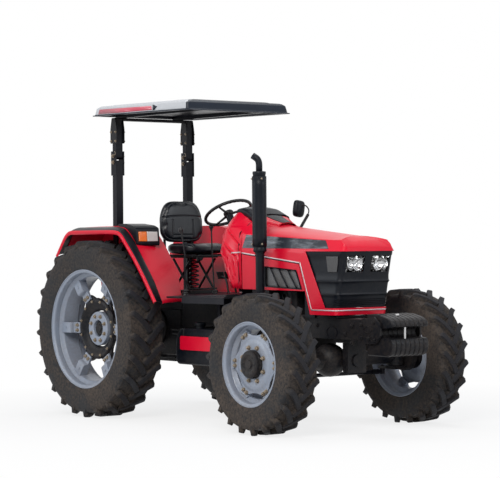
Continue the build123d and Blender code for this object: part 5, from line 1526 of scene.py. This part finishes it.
# Front weights: eight cast iron plates hung on the carrier's bar, each notched in front for the hand, with a
# long bright rod that runs down through them to lock them.
bright = finish("bright_steel", (0.55, 0.55, 0.56), 0.3, metallic=0.9, soil=0.15, soil_height=3.0, blotch=0.3)
weight_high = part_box("front_weights")[1]
wx = weight_high.x - rear_axle_x
weight_side = [(wx - 0.289, 0.606), (wx - 0.07, 0.602), (wx - 0.02, 0.618), (wx - 0.002, 0.655),
               (wx - 0.002, 0.708), (wx - 0.018, 0.738), (wx - 0.13, 0.744), (wx - 0.15, 0.765),
               (wx - 0.15, 0.8), (wx - 0.13, 0.818), (wx - 0.014, 0.826), (wx - 0.002, 0.842),
               (wx - 0.01, 0.872), (wx - 0.05, 0.895), (wx - 0.15, 0.919), (wx - 0.24, 0.924),
               (wx - 0.289, 0.92)]
weight_pitch, weight_thick, weight_round, weight_count = 0.047, 0.0438, 0.007, 8
outline = rounded(weight_side, 0.01, 3)
inner = (outline - outline.mean(0)) * 0.955 + outline.mean(0)
weight_shells = []
for k in range(weight_count):
    y = (k - (weight_count - 1) / 2) * weight_pitch
    rings = np.stack([along_y(np.concatenate([ring, np.full((len(ring), 1), y + h)], 1)) for ring, h in (
        (inner, -weight_thick / 2), (outline, -weight_thick / 2 + weight_round),
        (outline, weight_thick / 2 - weight_round), (inner, weight_thick / 2))])
    weight_shells.append((rings, capped(*rings.shape[:2])))
piece("front_weight_plates", weight_shells, "chassis", "cast_black", cast, smooth=30,
      stands_for="front_weights")
rod_x, rod_y = weight_high.x - 0.04, -0.024
rod_head = [(0, 0.905), (0.012, 0.905), (0.018, 0.912), (0.018, 0.92), (0.012, 0.9235), (0, 0.9235)]
piece("weight_locking_rod", [tube([(rod_x, rod_y, 0.7), (rod_x, rod_y, 0.885)], 0.009, 14, (1, 0, 0)),
                             turned(rod_head, (weight_high.x - 0.125, rod_y, 0), (0, 0, 1), 20)],
      "chassis", "bare_steel", bright)


# Carrier and front frame: cast black brackets bolted to the engine, with rows of bolts, raised bosses, and a
# sheet steel tray over them under the radiator.
frame_bolt_shells, boss_shells = [], []
for side_y, spots in (
        (-0.2145, [(2.735, 0.745, 0.026), (2.735, 0.845, 0.026), (2.82, 0.74, 0.03), (2.87, 0.86, 0.022),
                   (2.885, 0.73, 0.022)]),
        (-0.1895, [(2.6, 0.83, 0.03), (2.6, 0.7, 0.03), (2.52, 0.765, 0.026), (2.18, 0.82, 0.026),
                   (2.08, 0.82, 0.026), (2.08, 0.7, 0.026), (2.18, 0.6, 0.026)])):
    for x, z, wide in spots:
        frame_bolt_shells += bolt((x + rear_axle_x, side_y, z), (0, -1, 0), wide)
a = np.arange(32)[:, None] * 2 * pi / 32
for x, y, z, wide, tall in ((2.8, -0.214, 0.805, 0.052, 0.026), (2.35, -0.189, 0.77, 0.07, 0.05)):
    oval = np.concatenate([np.cos(a) * wide, np.sin(a) * tall], 1)
    rows = [(1, y), (1, y - 0.006), (0.78, y - 0.006), (0.78, y - 0.001)]
    grid = np.stack([along_y(np.concatenate([oval * k + (x, z), np.full((32, 1), h)], 1)) for k, h in rows])
    boss_shells.append((grid, quads(4, 32, False, True)))
piece("front_frame_bosses", both_halves(boss_shells), "chassis", "cast_black", cast, smooth=35)
piece("front_frame_bolts", both_halves(frame_bolt_shells), "chassis", "cast_black", cast, smooth=35)
piece("front_tray", [flat_box(1.93 + rear_axle_x, 2.43 + rear_axle_x, -0.2, 0.2, 0.8815, 0.8985)], "chassis",
      "black_paint", cast, smooth=35, bevel=(0.003, 2, 50))


# Fuel tank: a moulded black tank with cut corners and a raised rim, hung by two steel straps, with a filler
# cap and a red painted guard plate.
tank_low, tank_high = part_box("fuel_tank")
tx0, tx1 = tank_low.x - rear_axle_x, tank_high.x - rear_axle_x
tank_side = np.array([(tx0 + 0.002, 0.5), (tx0 + 0.03, 0.474), (tx1 - 0.03, 0.474), (tx1 - 0.002, 0.5),
                      (tx1 - 0.002, 0.715), (tx1 - 0.06, 0.772), (tx0 + 0.07, 0.772), (tx0 + 0.002, 0.705)])
piece("tank_shell", [prism(rounded(tank_side, 0.018, 5), tank_low.y + 0.006, tank_high.y - 0.002, along_y)],
      "chassis", "plastic_black", plastic, smooth=35, bevel=(0.012, 4, 50), stands_for="fuel_tank")
rim_run = rounded(tank_side, 0.018, 6)
rim_run = (rim_run - rim_run.mean(0)) * (0.955, 0.9) + rim_run.mean(0)
rim_path = along_y(np.concatenate([rim_run, np.full((len(rim_run), 1), tank_low.y + 0.006)], 1))
piece("tank_rim", [tube(np.concatenate([rim_path, rim_path[:1]]), 0.0055, 8, (0, 1, 0))], "chassis",
      "plastic_black", plastic, smooth=50)
guard_side = rounded([(0.865, 0.594), (1.31, 0.594), (1.31, 0.708), (0.865, 0.708)], 0.018, 5)
piece("tank_guard_plate", [prism(guard_side, tank_low.y - 0.0058, tank_low.y + 0.0045, along_y)], "chassis",
      "red_paint", red, smooth=35, bevel=(0.002, 2, 50), stands_for="tank_guard")
strap = rounded([(tank_low.y + 0.001, 0.6), (tank_low.y + 0.001, 0.7745), (tank_high.y - 0.02, 0.7745)],
                0.015, 5, close=False)
strap_shells = [(np.stack([from_axle(np.insert(strap, 0, x + d, 1)) for d in (-0.018, 0.018)]),
                 quads(2, len(strap))) for x in (0.9, 1.38)]
piece("tank_straps", strap_shells, "chassis", "black_paint", cast, wall=0.0022)
cap = [(0, 0.765), (0.036, 0.765), (0.036, 0.79), (0.044, 0.792), (0.046, 0.796), (0.046, 0.816),
       (0.04, 0.822), (0, 0.824)]
piece("tank_filler_cap", [turned(cap, (1.02 + rear_axle_x, -0.47, 0), (0, 0, 1), 32)], "chassis",
      "plastic_black", plastic)


# Engine dressing: filters, pump, alternator, pulleys and belt, injection pipes and dipstick, bolted along
# both sides, and the rocker cover and air cleaner on top, which show when the hood is open.
def dressing(name, shells, look, slot="black_paint"):
    """One joined piece of engine parts on the chassis."""
    piece(name, shells, "chassis", slot, look, smooth=35)


def can(x, y, z, r, tall, axis=(0, 0, -1)):
    """A spin-on filter: a can with a rolled top rim and a domed end."""
    return turned([(0, -0.012), (r * 0.9, -0.012), (r * 0.9, 0.0), (r * 1.03, 0.003), (r * 1.03, 0.012),
                   (r, 0.016), (r, tall - 0.014), (r * 0.8, tall - 0.003), (0, tall)],
                  (x + rear_axle_x, y, z), axis, 28)


def pulley(r, groove, z):
    """A belt pulley on the engine's front: a disc with a groove round it."""
    return turned([(0, -0.034), (r, -0.034), (r, -0.008), (groove, 0.0), (r, 0.008), (0, 0.008)],
                  (pulley_x, 0.0, z), (1, 0, 0), 40)


def pipe(path, bend, radius, sides=8):
    """A bent pipe whose x counts from the rear axle."""
    return bent(from_axle(path), bend, radius, sides)


dressing("engine_filters", [can(1.56, -0.262, 1.06, 0.042, 0.15), can(1.66, -0.262, 1.06, 0.042, 0.15),
                            can(1.6, 0.262, 0.8, 0.046, 0.13), can(1.72, 0.258, 1.08, 0.04, 0.14)], cast)
blocks = [prism(rounded(outline, bend, steps), *between, along_y) for outline, bend, steps, between in (
    ([(1.5, 1.06), (1.715, 1.06), (1.715, 1.1), (1.5, 1.1)], 0.01, 3, (-0.3, -0.2045)),
    ([(1.56, 0.76), (1.645, 0.76), (1.645, 0.83), (1.56, 0.83)], 0.01, 3, (0.2045, 0.285)),
    ([(1.78, 0.8), (1.96, 0.8), (1.975, 0.9), (1.78, 0.915)], 0.015, 4, (-0.285, -0.2045)))]
dressing("engine_brackets", blocks, cast)
pipes = [pipe([(x, -0.25, 0.905), (x, -0.25, 0.985 + 0.012 * k), (x - 0.1 + 0.03 * k, -0.222, 1.12),
               (x - 0.1 + 0.03 * k, -0.2, 1.21)], 0.04, 0.0045) for k,
         x in enumerate((1.8, 1.842, 1.884, 1.926))]
pipes += [pipe([(0.3, y, z), (1.25, y, z), (1.33, y, z + 0.1), (1.5, y, z + 0.12)], 0.05, 0.008, 10)
          for z, y in ((0.7, -0.226), (0.735, -0.232))]
dipstick = pipe([(1.7, 0.23, 0.62), (1.7, 0.245, 0.9), (1.715, 0.235, 1.12)], 0.05, 0.004)
dressing("engine_pipes", [*pipes, dipstick], cast)
alternator = [(0, -0.15), (0.03, -0.15), (0.058, -0.138), (0.064, -0.12), (0.064, -0.03), (0.056, -0.014),
              (0.016, -0.01), (0.016, 0.0), (0.036, 0.001), (0.03, 0.01), (0.036, 0.019), (0, 0.019)]
dressing("alternator", [turned(alternator, (1.955 + rear_axle_x, 0.262, 1.01), (1, 0, 0), 36)], cast)
pulley_x = 1.966 + rear_axle_x
dressing("engine_pulleys", [pulley(0.075, 0.064, 0.64), pulley(0.06, 0.05, 1.06)], cast)
belt_path = rounded([(pulley_x, y, z) for y, z in (
    (-0.08, 0.64), (-0.04, 0.56), (0.05, 0.57), (0.3, 0.99), (0.285, 1.05), (0.0, 1.128), (-0.062, 1.075))],
    0.05, 6)
dressing("engine_belt", [tube(np.concatenate([belt_path, belt_path[:1]]), 0.006, 8, (1, 0, 0))], rubber,
         "tyre_rubber")
rocker = [flat_box(1.47 + rear_axle_x, 1.93 + rear_axle_x, -0.088, 0.088, 1.344, 1.392),
          flat_box(2.06 + rear_axle_x, 2.178 + rear_axle_x, -0.205, 0.205, 1.329, 1.352),
          turned([(0, 1.35), (0.03, 1.35), (0.034, 1.354), (0.034, 1.364), (0.024, 1.37), (0, 1.372)],
                 (2.12 + rear_axle_x, 0.06, 0), (0, 0, 1), 24)]
rocker += [tube(from_axle([(x, -0.07, 1.393), (x, 0.07, 1.393)]), 0.004, 8) for x in np.linspace(1.5, 1.9, 9)]
dressing("rocker_cover", rocker, cast, "cast_black")
dressing("air_cleaner", [can(1.86, 0.145, 1.428, 0.056, 0.3, (-1, 0, 0)),
                         pipe([(1.865, 0.145, 1.428), (1.96, 0.145, 1.428), (2.0, 0.15, 1.38),
                               (2.01, 0.17, 1.25)], 0.05, 0.028, 16),
                         pipe([(1.9, -0.06, 1.33), (1.94, -0.07, 1.4), (2.03, -0.09, 1.4),
                               (2.1, -0.11, 1.34)], 0.05, 0.022, 16)], plastic, "plastic_black")


# Castings, posts, links and footboards: the frame's own black parts, cast or welded from plate, painted, with
# their edges rounded. Every node that no piece stands for gets the finish of its slot in the record.
black_paint = finish("black_paint", (0.003, 0.004, 0.008), 0.34, specular=0.13, soil=0.1, soil_height=1.0,
                     blotch=0.25, grain_scale=700.0, grain=0.15)
bare_steel = finish("bare_steel", (0.42, 0.42, 0.43), 0.35, metallic=1.0, soil=0.2, blotch=0.3,
                    grain_scale=500.0, grain=0.3)
roof_lining = finish("canopy_plastic", (0.028, 0.034, 0.046), 0.38, soil=0.05, blotch=0.1, grain_scale=500.0,
                     grain=0.15)
looks = {"tyre_rubber": rubber, "red_paint": red, "black_paint": black_paint, "wheel_silver": silver,
         "cast_black": cast, "plastic_black": plastic, "seat_vinyl": vinyl, "grip_plastic": grip,
         "canopy_plastic": roof_lining, "lamp_lens": finish("lamp_lens", (0.75, 0.76, 0.72), 0.12, soil=0.05,
                                                            blotch=0.05), "fender_lens": finish("fender_lens",
        (0.8, 0.25, 0.05), 0.12, soil=0.05, blotch=0.05), "bare_steel": bare_steel}
node_slot = {s["node"]: s["material_slot"] for s in frame["record"]["subparts"]}
for node, made in nodes.items():
    for place in made.material_slots:
        place.material = looks[node_slot[node]]


def softened(node, width):
    """A copy of a node with its triangles merged into flats and its edges rounded, which stands for the
    node."""
    made = nodes[node].copy()
    made.data = nodes[node].data.copy()
    made.name = made.data.name = node + "_rounded"
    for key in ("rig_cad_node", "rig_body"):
        if key in made:
            del made[key]
    made.parent = None
    bpy.context.scene.collection.objects.link(made)
    if "custom_normal" in made.data.attributes:
        made.data.attributes.remove(made.data.attributes["custom_normal"])
    work = bmesh.new()
    work.from_mesh(made.data)
    bmesh.ops.remove_doubles(work, verts=work.verts, dist=2e-5)
    bmesh.ops.dissolve_limit(work, angle_limit=radians(0.6), verts=work.verts, edges=work.edges)
    work.to_mesh(made.data)
    work.free()
    made.data.shade_smooth()
    made.data.set_sharp_from_angle(angle=radians(30))
    finish_piece(bevelled(made, width, 3, 22), nodes[node]["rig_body"], node_slot[node])
    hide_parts(node)


for node, width in (
        ("rops_posts", 0.004), ("rops_upper_posts", 0.006), ("engine", 0.01), ("transmission_case", 0.012),
        ("lift_housing", 0.008), ("front_support", 0.008), ("weight_carrier", 0.005), ("front_axle", 0.005),
        ("knuckle_left", 0.006), ("knuckle_right", 0.006), ("footboards", 0.002), ("lift_arms", 0.005),
        ("lower_links", 0.004), ("lift_rods", 0.003), ("drawbar", 0.004), ("rear_axle_housings", 0.006),
        ("link_brackets", 0.005)):
    softened(node, width)
